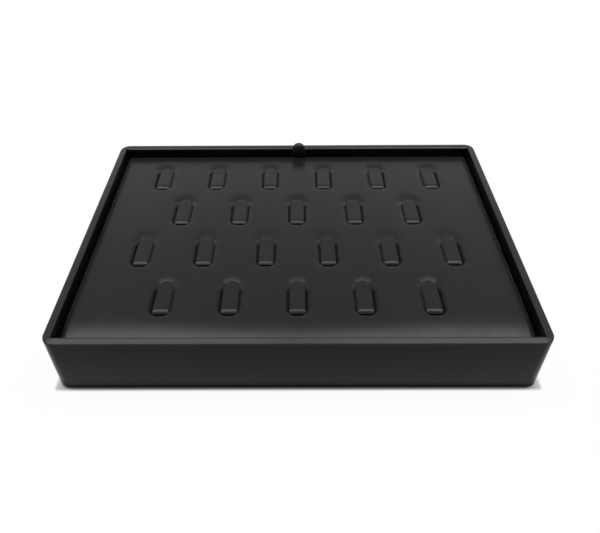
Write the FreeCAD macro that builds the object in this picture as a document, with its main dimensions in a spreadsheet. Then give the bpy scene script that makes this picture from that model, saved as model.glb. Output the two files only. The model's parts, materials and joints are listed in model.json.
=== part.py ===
import FreeCAD, Part
import os
import re

import Sketcher

# A shallow leatherette ring tray with a lift-out padded insert. The insert carries sprung clips in
# staggered rows and a pull tab at its rear edge. Frame in millimetres: origin at the bottom centre,
# X along the tray, -Y the front, Z up.

# Driving dimensions
SIZES = (
    ("tray_length", 350.0, "outside length of the tray"),
    ("tray_depth", 250.0, "outside depth of the tray, front to rear"),
    ("tray_height", 50.0, "height of the rim above the table"),
    ("corner_radius", 8.5, "outside radius of the upright corners"),
    ("rim_round", 1.2, "rounding of the outer rim edge"),
    ("rim_inner_round", 1.4, "rounding of the inner rim edge"),
    ("skin_thickness", 0.9, "leatherette thickness"),
    ("wall_thickness", 4.0, "fibreboard wall thickness"),
    ("base_thickness", 3.0, "fibreboard base thickness"),
    ("felt_thickness", 1.2, "felt under the base"),
    ("lining_thickness", 0.5, "floor lining sheet"),
    ("tray_hem_width", 12.0, "wrap turned in under the base"),
    ("ledge_thickness", 5.0, "ledge strips that carry the pad"),
    ("pad_drop", 8.2, "rim down to the top of the pad"),
    ("pad_clearance", 1.2, "gap between the pad and the lined walls"),
    ("pad_corner_radius", 4.0, "upright corners of the pad"),
    ("pad_edge_round", 3.0, "soft rounding of the pad's top edges"),
    ("pad_roll_width", 12.0, "crown falls away over this width"),
    ("pad_roll_drop", 1.6, "fall of the crown to the pad edge"),
    ("pad_hem_width", 12.0, "cover turned in under the board"),
    ("foam_thickness", 5.7, "foam sheet"),
    ("board_thickness", 3.0, "pad board"),
    ("backing_thickness", 0.5, "card under the pad"),
    ("backing_inset", 1.5, "card edge in from the pad edge"),
    ("clip_width", 12.1, "clip tongue, across"),
    ("clip_length", 33.0, "clip tongue, rear arch to front end"),
    ("clip_rear_thickness", 1.8, "tongue thickness at the arch"),
    ("clip_front_thickness", 2.2, "tongue thickness at the front end"),
    ("clip_nose_round", 1.8, "rounding over the front end"),
    ("clip_rise", 0.4, "front end above the rear arch"),
    ("clip_pitch", 50.4, "clip spacing along a row"),
    ("row_pitch", 51.9, "row spacing"),
    ("rear_margin", 18.5, "pad's rear edge to the first row of arches"),
    ("window_side_gap", 1.2, "open slit beside a tongue"),
    ("window_front_gap", 1.8, "open slit before a tongue"),
    ("window_corner_radius", 4.5, "front corners of a pressed window"),
    ("window_depth", 3.2, "depth of a pressed window"),
    ("dimple_depth", 1.4, "pad drawn down round an arch"),
    ("dimple_reach", 6.0, "width of the drawn-down ring"),
    ("strip_width", 6.0, "spring strip, across"),
    ("strip_thickness", 0.6, "spring strip thickness"),
    ("strip_length", 25.0, "spring strip inside a tongue"),
    ("strip_setback", 1.0, "strip end in from the arch"),
    ("strip_cover", 0.4, "leatherette over the strip"),
    ("strip_end_round", 1.5, "rounded front corners of a strip"),
    ("tail_setback", 2.0, "tail in front of the arch"),
    ("foot_length", 7.0, "tail folded under the board"),
    ("tab_width", 12.0, "pull tab, across"),
    ("tab_height", 17.5, "pull tab above its fold line"),
    ("tab_thickness", 1.8, "pull tab of two plies"),
    ("tab_edge_round", 0.6, "rounded edge of the pull tab"),
    ("tab_offset", 1.9, "pull tab right of the middle"),
    ("tab_inset", 1.1, "pull tab in from the pad's rear edge"),
    ("slot_clearance", 0.2, "room round a tail in its slot"),
    ("running_clearance", 0.3, "room round a piece that moves"),
    ("fit_clearance", 0.3, "room at the ends of fitted sheets and strips"),
    ("overrun", 2.0, "cuts run past their faces by this"),
)
# Rows from the rear to the front, with the clips in each
CLIP_ROWS = (("a", 6), ("b", 5), ("c", 6), ("d", 5))

# Rim roundings keep to these shares of the rim's width across a corner
OUTER_ROUND_SHARE = 0.5
INNER_ROUND_SHARE = 0.32

# Levels and half sizes, worked out from the sheet
BASE_TOP = "(felt_thickness + base_thickness)"
WALL_TOP = "(tray_height - skin_thickness)"
LINING_TOP = f"({BASE_TOP} + lining_thickness)"
PAD_TOP = "(tray_height - pad_drop)"
FOAM_TOP = f"({PAD_TOP} - skin_thickness)"
BOARD_TOP = f"({FOAM_TOP} - foam_thickness)"
BOARD_BOTTOM = f"({BOARD_TOP} - board_thickness)"
HEM_BOTTOM = f"({BOARD_BOTTOM} - skin_thickness)"
LEDGE_TOP = f"({HEM_BOTTOM} - backing_thickness)"
WINDOW_FLOOR = f"({PAD_TOP} - window_depth)"
HALF_X = "(tray_length / 2)"
HALF_Y = "(tray_depth / 2)"
RIM = "(2 * skin_thickness + wall_thickness)"
RIM_ACROSS_CORNER = f"(sqrt(2) * {RIM} - (sqrt(2) - 1) * corner_radius)"
RIM_ROUND = f"min(rim_round; {OUTER_ROUND_SHARE} * {RIM_ACROSS_CORNER})"
RIM_INNER_ROUND = f"min(rim_inner_round; {INNER_ROUND_SHARE} * {RIM_ACROSS_CORNER})"
WELL_X = f"({HALF_X} - {RIM})"
WELL_Y = f"({HALF_Y} - {RIM})"
PAD_X = f"({WELL_X} - pad_clearance)"
PAD_Y = f"({WELL_Y} - pad_clearance)"
ARCH = "(clip_width / 2)"
HINGE_LEVEL = f"({WINDOW_FLOOR} + running_clearance + clip_rear_thickness)"
TAB_FRONT = f"({PAD_Y} - tab_inset - tab_thickness)"
TAB_LEVEL = f"({PAD_TOP} - pad_roll_drop * (1 - (tab_inset + tab_thickness) / pad_roll_width))"

doc = FreeCAD.newDocument("RingTray")
sheet = doc.addObject("Spreadsheet::Sheet", "Sizes")
for line, (alias, size, note) in enumerate(SIZES, start=1):
    sheet.set(f"A{line}", note)
    sheet.set(f"B{line}", str(size))
    sheet.setAlias(f"B{line}", alias)
doc.recompute()
ALIASES = re.compile(r"\b(%s)\b" % "|".join(alias for alias, size, note in SIZES))


def cells(text):
    """Expression with each size name turned into its sheet cell."""
    return ALIASES.sub(r"Sizes.\1", text)


def bind(item, prop, text):
    item.setExpression(prop, cells(text))


def number(text):
    """What an expression gives now."""
    return float(sheet.evalExpression(cells(text)))


# Sketch and feature helpers
def new_body(label):
    body = doc.addObject("PartDesign::Body", label)
    body.Label = label
    return body


def origin_feature(body, role):
    return next(item for item in body.Origin.OriginFeatures if item.Role == role)


def new_sketch(body, name, role, level="0"):
    sketch = body.newObject("Sketcher::SketchObject", f"{body.Name}_{name}")
    sketch.AttachmentSupport = [(origin_feature(body, role), "")]
    sketch.MapMode = "FlatFace"
    bind(sketch, "AttachmentOffset.Base.z", level)
    return sketch


def arc_between(start, end, radius, turn):
    """Arc of less than half a circle from start to end, turning left (1) or right (-1)."""
    chord = end - start
    left = FreeCAD.Vector(-chord.y, chord.x, 0).normalize()
    rise = max(radius ** 2 - (chord.Length / 2) ** 2, 0) ** 0.5
    centre = start + chord / 2 + left * rise * turn
    middle = centre - left * radius * turn
    return Part.Arc(start, middle, end)


def locate(sketch, edge, end, corner, tag):
    """Ties one end of an edge to expressions for its two coordinates."""
    for kind, axis, text in (("DistanceX", -2, corner[0]), ("DistanceY", -1, corner[1])):
        if text == "0":
            sketch.addConstraint(Sketcher.Constraint("PointOnObject", edge, end, axis))
            continue
        index = sketch.addConstraint(Sketcher.Constraint(kind, edge, end, number(text)))
        name = f"{kind}_{tag}"
        sketch.renameConstraint(index, name)
        bind(sketch, f"Constraints.{name}", text)


def outline(sketch, corners, arcs=None):
    """Closed outline; arcs gives (radius, turn) for the edges that leave those corners in an arc."""
    arcs = arcs or {}
    points = [FreeCAD.Vector(number(x), number(y), 0) for x, y in corners]
    edges = []
    for k, start in enumerate(points):
        end = points[(k + 1) % len(points)]
        if k in arcs:
            radius, turn = arcs[k]
            edge = sketch.addGeometry(arc_between(start, end, number(radius), turn))
            ends = (1, 2) if turn > 0 else (2, 1)
            index = sketch.addConstraint(Sketcher.Constraint("Radius", edge, number(radius)))
            name = f"Radius_{edge}"
            sketch.renameConstraint(index, name)
            bind(sketch, f"Constraints.{name}", radius)
        else:
            edge = sketch.addGeometry(Part.LineSegment(start, end))
            ends = (1, 2)
        edges.append((edge, ends))
    for k, (edge, ends) in enumerate(edges):
        after, after_ends = edges[(k + 1) % len(edges)]
        sketch.addConstraint(Sketcher.Constraint("Coincident", edge, ends[1], after, after_ends[0]))
    for (edge, ends), corner in zip(edges, corners):
        locate(sketch, edge, ends[0], corner, f"{edge}")


def rectangle(sketch, left, front, right, rear):
    outline(sketch, [(left, front), (right, front), (right, rear), (left, rear)])


def centred_rectangle(sketch, half_x, half_y):
    rectangle(sketch, f"-{half_x}", f"-{half_y}", half_x, half_y)


def rounded_rectangle(sketch, half_x, half_y, radius):
    inner_x = f"({half_x} - {radius})"
    inner_y = f"({half_y} - {radius})"
    corners = [
        (f"-{inner_x}", f"-{half_y}"), (inner_x, f"-{half_y}"),
        (half_x, f"-{inner_y}"), (half_x, inner_y),
        (inner_x, half_y), (f"-{inner_x}", half_y),
        (f"-{half_x}", inner_y), (f"-{half_x}", f"-{inner_y}"),
    ]
    outline(sketch, corners, {k: (radius, 1) for k in (1, 3, 5, 7)})


def extrude(body, sketch, length, both_ways=False):
    feature = body.newObject("PartDesign::Pad", f"{sketch.Name}_pad")
    feature.Profile = sketch
    bind(feature, "Length", length)
    feature.Midplane = both_ways
    body.Tip = feature
    return feature


def cut(body, sketch, length, against_normal=True, both_ways=False):
    """Pocket that must take material away."""
    doc.recompute()
    before = body.Shape.Volume
    feature = body.newObject("PartDesign::Pocket", f"{sketch.Name}_cut")
    feature.Profile = sketch
    bind(feature, "Length", length)
    feature.Reversed = not against_normal
    feature.Midplane = both_ways
    body.Tip = feature
    doc.recompute()
    if body.Shape.Volume >= before:
        raise RuntimeError(f"{feature.Name} cuts nothing")
    return feature


def fillet(body, base, picked, radius):
    doc.recompute()
    names = [f"Edge{k}" for k, edge in enumerate(base.Shape.Edges, start=1) if picked(edge)]
    if not names:
        raise RuntimeError(f"{body.Label} has no edge to round")
    feature = body.newObject("PartDesign::Fillet", f"{base.Name}_fillet{len(body.Group)}")
    feature.Base = (base, names)
    bind(feature, "Radius", radius)
    body.Tip = feature
    return feature


def lies_at(edge, level):
    """True for an edge that lies in the horizontal plane at that level."""
    box = edge.BoundBox
    return box.ZLength < Part.Precision.approximation() and abs(box.ZMin - level) < box.DiagonalLength / 1000


def reach(edge):
    """Greatest distances of an edge from the middle of the tray, along and across it."""
    box = edge.BoundBox
    return max(-box.XMin, box.XMax), max(-box.YMin, box.YMax)


def spread(body, features, row, columns):
    """Repeats features along a row and onto the row two pitches behind it."""
    pattern = body.newObject("PartDesign::LinearPattern", f"{body.Name}_row_{row}")
    pattern.Originals = features
    pattern.Direction = (origin_feature(body, "X_Axis"), [""])
    bind(pattern, "Length", f"clip_pitch * {columns - 1}")
    pattern.Occurrences = columns
    pattern.Direction2 = (origin_feature(body, "Y_Axis"), [""])
    bind(pattern, "Length2", "2 * row_pitch")
    pattern.Occurrences2 = 2
    body.Tip = pattern


def part_cut(label, base, tool):
    feature = doc.addObject("Part::Cut", label)
    feature.Label = label
    feature.Base = base
    feature.Tool = tool
    return feature


# Clip places
def clip_x(column, columns):
    return f"(clip_pitch * ({column} - {columns - 1} / 2))"


def arch_y(row):
    return f"({PAD_Y} - rear_margin - {row} * row_pitch)"


def paired_rows():
    """First clip of each pair of like rows, as row name, clip count, x and arch y."""
    for row in (2, 3):
        name, columns = CLIP_ROWS[row]
        yield name, columns, clip_x(0, columns), arch_y(row)


# Tray
def make_base_panel():
    body = new_body("base_panel")
    sketch = new_sketch(body, "plan", "XY_Plane", "felt_thickness")
    rounded_rectangle(sketch, f"({HALF_X} - skin_thickness)", f"({HALF_Y} - skin_thickness)",
                      "(corner_radius - skin_thickness)")
    extrude(body, sketch, "base_thickness")
    return body


def is_mitre(edge):
    """True for the straight edge across a wall's slanted end."""
    ends = [vertex.Point for vertex in edge.Vertexes]
    step = ends[-1] - ends[0]
    slanted = min(abs(step.x), abs(step.y)) > step.Length / 4
    return slanted and isinstance(edge.Curve, Part.Line)


def make_wall(label, side, along, across, turned):
    """Wall with mitred ends; along and across are the half sizes of the core on its two axes."""
    body = new_body(label)
    sketch = new_sketch(body, "plan", "XY_Plane", BASE_TOP)
    radius = "(corner_radius - skin_thickness)"
    tangent = f"({along} - {radius})"
    mitre_drop = f"({radius} * (1 - sqrt(0.5)))"
    outer = [
        (f"-{tangent}", f"-{across}"), (tangent, f"-{across}"),
        (f"({along} - {mitre_drop})", f"-({across} - {mitre_drop})"),
        (f"({along} - wall_thickness)", f"-({across} - wall_thickness)"),
        (f"-({along} - wall_thickness)", f"-({across} - wall_thickness)"),
        (f"-({along} - {mitre_drop})", f"-({across} - {mitre_drop})"),
    ]
    if turned:
        corners = [(f"-({y})" if side > 0 else y, x) for x, y in outer]
    else:
        corners = [(x, y if side < 0 else f"-({y})") for x, y in outer]
    turn = 1 if (side < 0) != turned else -1
    outline(sketch, corners, {1: (radius, turn), 5: (radius, turn)})
    block = extrude(body, sketch, f"{WALL_TOP} - {BASE_TOP}")
    middle = number(f"{across} - wall_thickness / 2")
    rim = number(WALL_TOP)

    def is_outer(edge):
        return reach(edge)[0 if turned else 1] > middle

    def on_rim(edge):
        return lies_at(edge, rim) and not is_mitre(edge)

    eased = fillet(body, block, lambda edge: on_rim(edge) and not is_outer(edge),
                   f"{RIM_INNER_ROUND} - skin_thickness")
    fillet(body, eased, lambda edge: on_rim(edge) and is_outer(edge), f"{RIM_ROUND} - skin_thickness")
    return body


def make_walls():
    along_x = f"({HALF_X} - skin_thickness)"
    along_y = f"({HALF_Y} - skin_thickness)"
    return [
        make_wall("front_wall", -1, along_x, along_y, False),
        make_wall("rear_wall", 1, along_x, along_y, False),
        make_wall("left_wall", -1, along_y, along_x, True),
        make_wall("right_wall", 1, along_y, along_x, True),
    ]


def make_outer_wrap(walls, base_panel):
    """Skin over the core: outside, rim, inside of the walls and the hem under the base."""
    body = new_body("wrap_form")
    hem_bottom = "(felt_thickness - skin_thickness)"
    sketch = new_sketch(body, "plan", "XY_Plane", hem_bottom)
    rounded_rectangle(sketch, HALF_X, HALF_Y, "corner_radius")
    extrude(body, sketch, f"tray_height - {hem_bottom}")
    well = new_sketch(body, "well", "XY_Plane", "tray_height")
    centred_rectangle(well, WELL_X, WELL_Y)
    cut(body, well, f"tray_height - {BASE_TOP}")
    hem = new_sketch(body, "hem", "XY_Plane", hem_bottom)
    centred_rectangle(hem, f"({HALF_X} - tray_hem_width)", f"({HALF_Y} - tray_hem_width)")
    hollow = cut(body, hem, "skin_thickness", against_normal=False)
    limit_x = number(f"{HALF_X} - {RIM_ROUND} / 2")
    limit_y = number(f"{HALF_Y} - {RIM_ROUND} / 2")

    def is_outer(edge):
        reach_x, reach_y = reach(edge)
        return reach_x > limit_x or reach_y > limit_y

    rim = number("tray_height")
    eased = fillet(body, hollow, lambda edge: lies_at(edge, rim) and not is_outer(edge), RIM_INNER_ROUND)
    fillet(body, eased, lambda edge: lies_at(edge, rim) and is_outer(edge), RIM_ROUND)
    core = doc.addObject("Part::MultiFuse", "tray_core")
    core.Shapes = walls + [base_panel]
    return part_cut("outer_wrap", body, core)


def make_floor_lining():
    body = new_body("floor_lining")
    sketch = new_sketch(body, "plan", "XY_Plane", BASE_TOP)
    centred_rectangle(sketch, f"({WELL_X} - fit_clearance)", f"({WELL_Y} - fit_clearance)")
    extrude(body, sketch, "lining_thickness")
    return body


def make_bottom_felt():
    body = new_body("bottom_felt")
    sketch = new_sketch(body, "plan", "XY_Plane")
    inset = "(tray_hem_width + fit_clearance)"
    centred_rectangle(sketch, f"({HALF_X} - {inset})", f"({HALF_Y} - {inset})")
    extrude(body, sketch, "felt_thickness")
    return body


def make_pad_ledges():
    """Four strips glued to the lined walls, all in one sketch."""
    body = new_body("pad_ledges")
    sketch = new_sketch(body, "plan", "XY_Plane", LINING_TOP)
    inner_x = f"({WELL_X} - ledge_thickness)"
    inner_y = f"({WELL_Y} - ledge_thickness)"
    side_end = f"({inner_y} - fit_clearance)"
    rectangle(sketch, f"-{WELL_X}", f"-{WELL_Y}", WELL_X, f"-{inner_y}")
    rectangle(sketch, f"-{WELL_X}", inner_y, WELL_X, WELL_Y)
    rectangle(sketch, f"-{WELL_X}", f"-{side_end}", f"-{inner_x}", side_end)
    rectangle(sketch, inner_x, f"-{side_end}", WELL_X, side_end)
    extrude(body, sketch, f"{LEDGE_TOP} - {LINING_TOP}")
    return body


# Pad
def press_windows(body, top, margin):
    """Pressed windows and dimples at every clip; margin widens them for the layer under the skin."""
    arch = f"({ARCH} + running_clearance + {margin})"
    side = f"({ARCH} + window_side_gap + {margin})"
    front = f"(clip_length + window_front_gap + {margin})"
    corner = f"(window_corner_radius + {margin})"
    for row, columns, x, y in paired_rows():
        shoulder = f"({y} - {ARCH} + {margin})"
        shoulder_x = f"sqrt({arch}^2 - {margin}^2)"
        corners = [
            (f"{x} + {shoulder_x}", shoulder), (x, f"{y} - {ARCH} + {arch}"),
            (f"{x} - {shoulder_x}", shoulder), (f"{x} - {side}", shoulder),
            (f"{x} - {side}", f"{y} - {front} + {corner}"), (f"{x} - {side} + {corner}", f"{y} - {front}"),
            (f"{x} + {side} - {corner}", f"{y} - {front}"), (f"{x} + {side}", f"{y} - {front} + {corner}"),
            (f"{x} + {side}", shoulder),
        ]
        sketch = new_sketch(body, f"window_{row}", "XY_Plane", top)
        outline(sketch, corners, {0: (arch, 1), 1: (arch, 1), 4: (corner, 1), 6: (corner, 1)})
        window = cut(body, sketch, "window_depth")
        dimple = body.newObject("PartDesign::SubtractiveCone", f"{body.Name}_dimple_{row}")
        dimple.AttachmentSupport = [(origin_feature(body, "XY_Plane"), "")]
        dimple.MapMode = "FlatFace"
        bind(dimple, "AttachmentOffset.Base.x", x)
        bind(dimple, "AttachmentOffset.Base.y", f"{y} - {ARCH}")
        bind(dimple, "AttachmentOffset.Base.z", f"{top} - dimple_depth")
        bind(dimple, "Radius1", f"{ARCH} + running_clearance")
        bind(dimple, "Radius2", f"{ARCH} + running_clearance + dimple_reach")
        bind(dimple, "Height", "dimple_depth")
        spread(body, [window, dimple], row, columns)
        doc.recompute()


def pad_outline(body, name, level, inset, radius):
    """Sketch of the pad's plan, set in from its edge."""
    sketch = new_sketch(body, name, "XY_Plane", level)
    rounded_rectangle(sketch, f"({PAD_X} - {inset})", f"({PAD_Y} - {inset})", radius)
    return sketch


def make_crowned_layer(label, bottom, top, inset):
    """Slab whose top falls away to soft rounded edges."""
    body = new_body(label)
    radius = f"(pad_corner_radius - {inset})"
    brow = f"({top} - pad_roll_drop * (1 - {inset} / pad_roll_width))"
    extrude(body, pad_outline(body, "plan", bottom, inset, radius), f"{brow} - {bottom}")
    crown = body.newObject("PartDesign::AdditiveLoft", f"{body.Name}_crown")
    crown.Profile = pad_outline(body, "brow", brow, inset, radius)
    crown.Sections = [pad_outline(body, "top", top, "pad_roll_width", radius)]
    crown.Ruled = True
    body.Tip = crown
    level = number(brow)
    fillet(body, crown, lambda edge: lies_at(edge, level), f"pad_edge_round - {inset}")
    return body


def make_slots():
    """Cutter for the slots of the clip tails and of the pull tab, and the tab's notch in the hem."""
    body = new_body("slots")
    half = "(strip_width / 2 + slot_clearance)"
    for row, columns, x, y in paired_rows():
        sketch = new_sketch(body, f"slot_{row}", "XY_Plane", HEM_BOTTOM)
        rear = f"{y} - tail_setback + slot_clearance"
        rectangle(sketch, f"{x} - {half}", f"{rear} - strip_thickness - 2 * slot_clearance",
                  f"{x} + {half}", rear)
        slot = extrude(body, sketch, f"{PAD_TOP} - {HEM_BOTTOM}")
        spread(body, [slot], row, columns)
    tab = new_sketch(body, "tab_slot", "XY_Plane", HEM_BOTTOM)
    tab_half = "(tab_width / 2 + slot_clearance)"
    rectangle(tab, f"tab_offset - {tab_half}", f"{TAB_FRONT} - slot_clearance",
              f"tab_offset + {tab_half}", f"{TAB_FRONT} + tab_thickness + slot_clearance")
    extrude(body, tab, f"{PAD_TOP} - {HEM_BOTTOM}")
    notch = new_sketch(body, "hem_notch", "XY_Plane", HEM_BOTTOM)
    rectangle(notch, f"tab_offset - {tab_half}", f"{PAD_Y} - pad_hem_width - overrun",
              f"tab_offset + {tab_half}", f"{TAB_FRONT} + tab_thickness + slot_clearance")
    extrude(body, notch, "skin_thickness")
    return body


def make_pad():
    """Board, foam and cover of the pad, with the slots through all three."""
    slots = make_slots()
    board = new_body("board_form")
    plan = pad_outline(board, "plan", BOARD_BOTTOM, "skin_thickness", "(pad_corner_radius - skin_thickness)")
    extrude(board, plan, "board_thickness")
    foam = make_crowned_layer("foam_form", BOARD_TOP, FOAM_TOP, "skin_thickness")
    press_windows(foam, FOAM_TOP, "skin_thickness")
    cover = make_crowned_layer("cover_form", HEM_BOTTOM, PAD_TOP, "0")
    hem = new_sketch(cover, "hem", "XY_Plane", HEM_BOTTOM)
    centred_rectangle(hem, f"({PAD_X} - pad_hem_width)", f"({PAD_Y} - pad_hem_width)")
    cut(cover, hem, "skin_thickness", against_normal=False)
    press_windows(cover, PAD_TOP, "0")
    over_foam = part_cut("cover_over_foam", cover, foam)
    over_board = part_cut("cover_over_board", over_foam, board)
    return [
        part_cut("pad_board", board, slots),
        part_cut("pad_foam", foam, slots),
        part_cut("pad_cover", over_board, slots),
    ]


def make_pad_backing():
    body = new_body("pad_backing")
    sketch = new_sketch(body, "plan", "XY_Plane", LEDGE_TOP)
    centred_rectangle(sketch, f"({PAD_X} - backing_inset)", f"({PAD_Y} - backing_inset)")
    extrude(body, sketch, "backing_thickness")
    return body


def tail_profile(body, name, rear, thickness, foot, top, x):
    """Upright strip through the pad with its foot folded forward under the board."""
    sketch = new_sketch(body, name, "YZ_Plane", x)
    front = f"{rear} - {thickness}"
    foot_front = f"{front} - foot_length"
    foot_bottom = f"{BOARD_BOTTOM} - {foot}"
    outline(sketch, [(foot_front, foot_bottom), (rear, foot_bottom), (rear, top), (front, top),
                     (front, BOARD_BOTTOM), (foot_front, BOARD_BOTTOM)])
    return sketch


def make_clip_tails():
    body = new_body("clip_tails")
    for row, columns, x, y in paired_rows():
        sketch = tail_profile(body, f"tail_{row}", f"{y} - tail_setback", "strip_thickness", "strip_thickness",
                              WINDOW_FLOOR, x)
        tail = extrude(body, sketch, "strip_width", both_ways=True)
        spread(body, [tail], row, columns)
    return body


def make_pull_tab_tail():
    body = new_body("pull_tab_tail")
    sketch = tail_profile(body, "tail", f"{TAB_FRONT} + tab_thickness", "tab_thickness", "tab_thickness / 2",
                          TAB_LEVEL, "tab_offset")
    extrude(body, sketch, "tab_width", both_ways=True)
    return body


# Pull tab
def make_pull_tab():
    """Tongue with a round top; its own origin is the front of its fold line."""
    body = new_body("pull_tab")
    sketch = new_sketch(body, "face", "XZ_Plane")
    half = "(tab_width / 2)"
    straight = f"(tab_height - {half})"
    corners = [(f"-{half}", "0"), (half, "0"), (half, straight), ("0", "tab_height"), (f"-{half}", straight)]
    outline(sketch, corners, {2: (half, 1), 3: (half, 1)})
    tongue = extrude(body, sketch, "tab_thickness")
    tongue.Reversed = True
    foot = number("tab_height") / 100

    def round_edge(edge):
        upright = edge.BoundBox.ZMax > foot
        return upright and edge.BoundBox.YLength < number("tab_thickness") / 2

    fillet(body, tongue, round_edge, "tab_edge_round")
    bind(body, "Placement.Base.x", "tab_offset")
    bind(body, "Placement.Base.y", TAB_FRONT)
    bind(body, "Placement.Base.z", f"{TAB_LEVEL} + running_clearance")
    return body


# Clips
def seat_clip(body, row, column, columns):
    """Puts a clip piece at its arch, tilted up to the front."""
    body.Placement = FreeCAD.Placement(FreeCAD.Vector(), FreeCAD.Rotation(FreeCAD.Vector(-1, 0, 0), 1))
    bind(body, "Placement.Base.x", clip_x(column, columns))
    bind(body, "Placement.Base.y", arch_y(row))
    bind(body, "Placement.Base.z", HINGE_LEVEL)
    bind(body, "Placement.Rotation.Angle", "asin(clip_rise / clip_length)")


def make_clip_cover(label):
    """Tongue with a round rear end, a rolled front end and a pocket for its strip."""
    body = new_body(label)
    plan = new_sketch(body, "plan", "XY_Plane", "-clip_front_thickness")
    corners = [(f"-{ARCH}", "-clip_length"), (ARCH, "-clip_length"), (ARCH, f"-{ARCH}"), ("0", "0"),
               (f"-{ARCH}", f"-{ARCH}")]
    outline(plan, corners, {2: (ARCH, 1), 3: (ARCH, 1)})
    tongue = extrude(body, plan, "clip_front_thickness")
    front = -number("clip_length")

    def nose(edge):
        at_front = edge.BoundBox.YMax < front * 0.99
        return at_front and lies_at(edge, 0)

    fillet(body, tongue, nose, "clip_nose_round")
    taper = new_sketch(body, "taper", "YZ_Plane")
    below = "-(clip_front_thickness + overrun)"
    outline(taper, [("-clip_length", "-clip_front_thickness"), ("-clip_length", below), ("0", below),
                    ("0", "-clip_rear_thickness")])
    cut(body, taper, "clip_width + 2 * overrun", both_ways=True)
    pocket = new_sketch(body, "pocket", "XZ_Plane")
    rectangle(pocket, "-strip_width / 2", "-(strip_cover + strip_thickness)", "strip_width / 2", "-strip_cover")
    cut(body, pocket, "strip_setback + strip_length", against_normal=False)
    return body


def make_clip_spring(label):
    body = new_body(label)
    plan = new_sketch(body, "plan", "XY_Plane", "-(strip_cover + strip_thickness)")
    half = "strip_width / 2"
    tip = "-(strip_setback + strip_length)"
    corners = [
        (f"-({half} - strip_end_round)", tip), (f"{half} - strip_end_round", tip),
        (half, f"{tip} + strip_end_round"), (half, "-strip_setback"),
        (f"-{half}", "-strip_setback"), (f"-{half}", f"{tip} + strip_end_round"),
    ]
    outline(plan, corners, {1: ("strip_end_round", 1), 5: ("strip_end_round", 1)})
    extrude(body, plan, "strip_thickness")
    return body


def make_clips():
    pieces = []
    for row, (name, columns) in enumerate(CLIP_ROWS):
        for column in range(columns):
            for make, kind in ((make_clip_cover, "cover"), (make_clip_spring, "spring")):
                body = make(f"clip_{kind}_{name}{column + 1}")
                seat_clip(body, row, column, columns)
                pieces.append(body)
    return pieces


def make_tray():
    base_panel = make_base_panel()
    walls = make_walls()
    return [base_panel, *walls, make_outer_wrap(walls, base_panel), make_floor_lining(), make_bottom_felt(),
            make_pad_ledges()]


def check_and_write(pieces):
    """Writes every piece once the whole document has come out sound."""
    doc.recompute()
    failed = [item.Name for item in doc.Objects if {"Invalid", "Error"} & set(item.State)]
    failed += [item.Label for item in pieces if item.Shape.isNull() or not item.Shape.isValid()]
    if failed:
        raise RuntimeError(f"These came out wrong: {failed}")
    os.makedirs("parts", exist_ok=True)
    for item in pieces:
        item.Shape.exportStep(f"parts/{item.Label}.step")


tray = make_tray()
pad = make_pad() + [make_pad_backing(), make_clip_tails(), make_pull_tab_tail()]
check_and_write(tray + pad + [make_pull_tab()] + make_clips())
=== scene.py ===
import json
import math

import bmesh
import bpy
import numpy as np
from mathutils import Matrix, Vector


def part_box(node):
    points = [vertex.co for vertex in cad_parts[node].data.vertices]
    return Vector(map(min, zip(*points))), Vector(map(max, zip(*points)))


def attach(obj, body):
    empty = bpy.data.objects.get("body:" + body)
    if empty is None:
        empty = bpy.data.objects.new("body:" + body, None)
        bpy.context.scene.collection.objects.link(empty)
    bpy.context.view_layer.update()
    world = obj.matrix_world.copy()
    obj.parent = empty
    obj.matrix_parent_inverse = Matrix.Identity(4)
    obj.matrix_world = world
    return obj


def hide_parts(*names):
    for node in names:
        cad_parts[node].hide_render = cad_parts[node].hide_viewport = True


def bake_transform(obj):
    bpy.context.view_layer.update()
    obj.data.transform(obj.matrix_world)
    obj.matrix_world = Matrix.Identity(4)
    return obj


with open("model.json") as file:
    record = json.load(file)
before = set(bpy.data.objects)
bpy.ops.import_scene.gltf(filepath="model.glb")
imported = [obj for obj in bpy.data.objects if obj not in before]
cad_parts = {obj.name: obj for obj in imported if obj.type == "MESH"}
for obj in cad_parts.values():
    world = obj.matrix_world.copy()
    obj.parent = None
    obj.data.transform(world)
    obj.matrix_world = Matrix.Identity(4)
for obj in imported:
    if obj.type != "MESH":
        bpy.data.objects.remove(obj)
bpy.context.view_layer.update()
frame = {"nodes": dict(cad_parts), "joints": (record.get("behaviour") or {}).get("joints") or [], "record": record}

bl_info = {
    "name": "Ring Tray",
    "version": (1, 0, 0),
    "blender": (4, 5, 0),
    "location": "3D View > Sidebar > Ring Tray",
    "description": "Dresses a leatherette ring tray with its clip pad, clips and pull tab",
    "category": "Object",
}

# The frame's own measures, in metres
WRAP_LOW, WRAP_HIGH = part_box("outer_wrap")
WALL_LOW, WALL_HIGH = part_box("front_wall")
FELT_LOW, FELT_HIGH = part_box("bottom_felt")
COVER_LOW, COVER_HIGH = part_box("pad_cover")
TAIL_LOW, TAIL_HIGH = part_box("pull_tab_tail")
TAB_LOW, TAB_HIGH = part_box("pull_tab")
CLIP_LOW, CLIP_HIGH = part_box("clip_cover_a1")
BASE_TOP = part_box("base_panel")[1]
FOAM_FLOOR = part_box("pad_foam")[0].z
SKIN = WRAP_HIGH.x - BASE_TOP.x
RIM = 2 * SKIN + WALL_HIGH.y - WALL_LOW.y
FLEX_JOINTS = {j["child"]: Vector(j["pos_m"]) for j in frame["joints"] if j["name"].endswith("_flex")}
CLIP_ARCHES = sorted(FLEX_JOINTS.items())
REAR_ROW, FRONT_ROW = FLEX_JOINTS["clip_a1"].y, FLEX_JOINTS["clip_d1"].y
CLIP_PITCH = FLEX_JOINTS["clip_a2"].x - FLEX_JOINTS["clip_a1"].x
ROW_PITCH = FLEX_JOINTS["clip_a1"].y - FLEX_JOINTS["clip_b1"].y
ARCH = (CLIP_HIGH.x - CLIP_LOW.x) / 2
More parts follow.
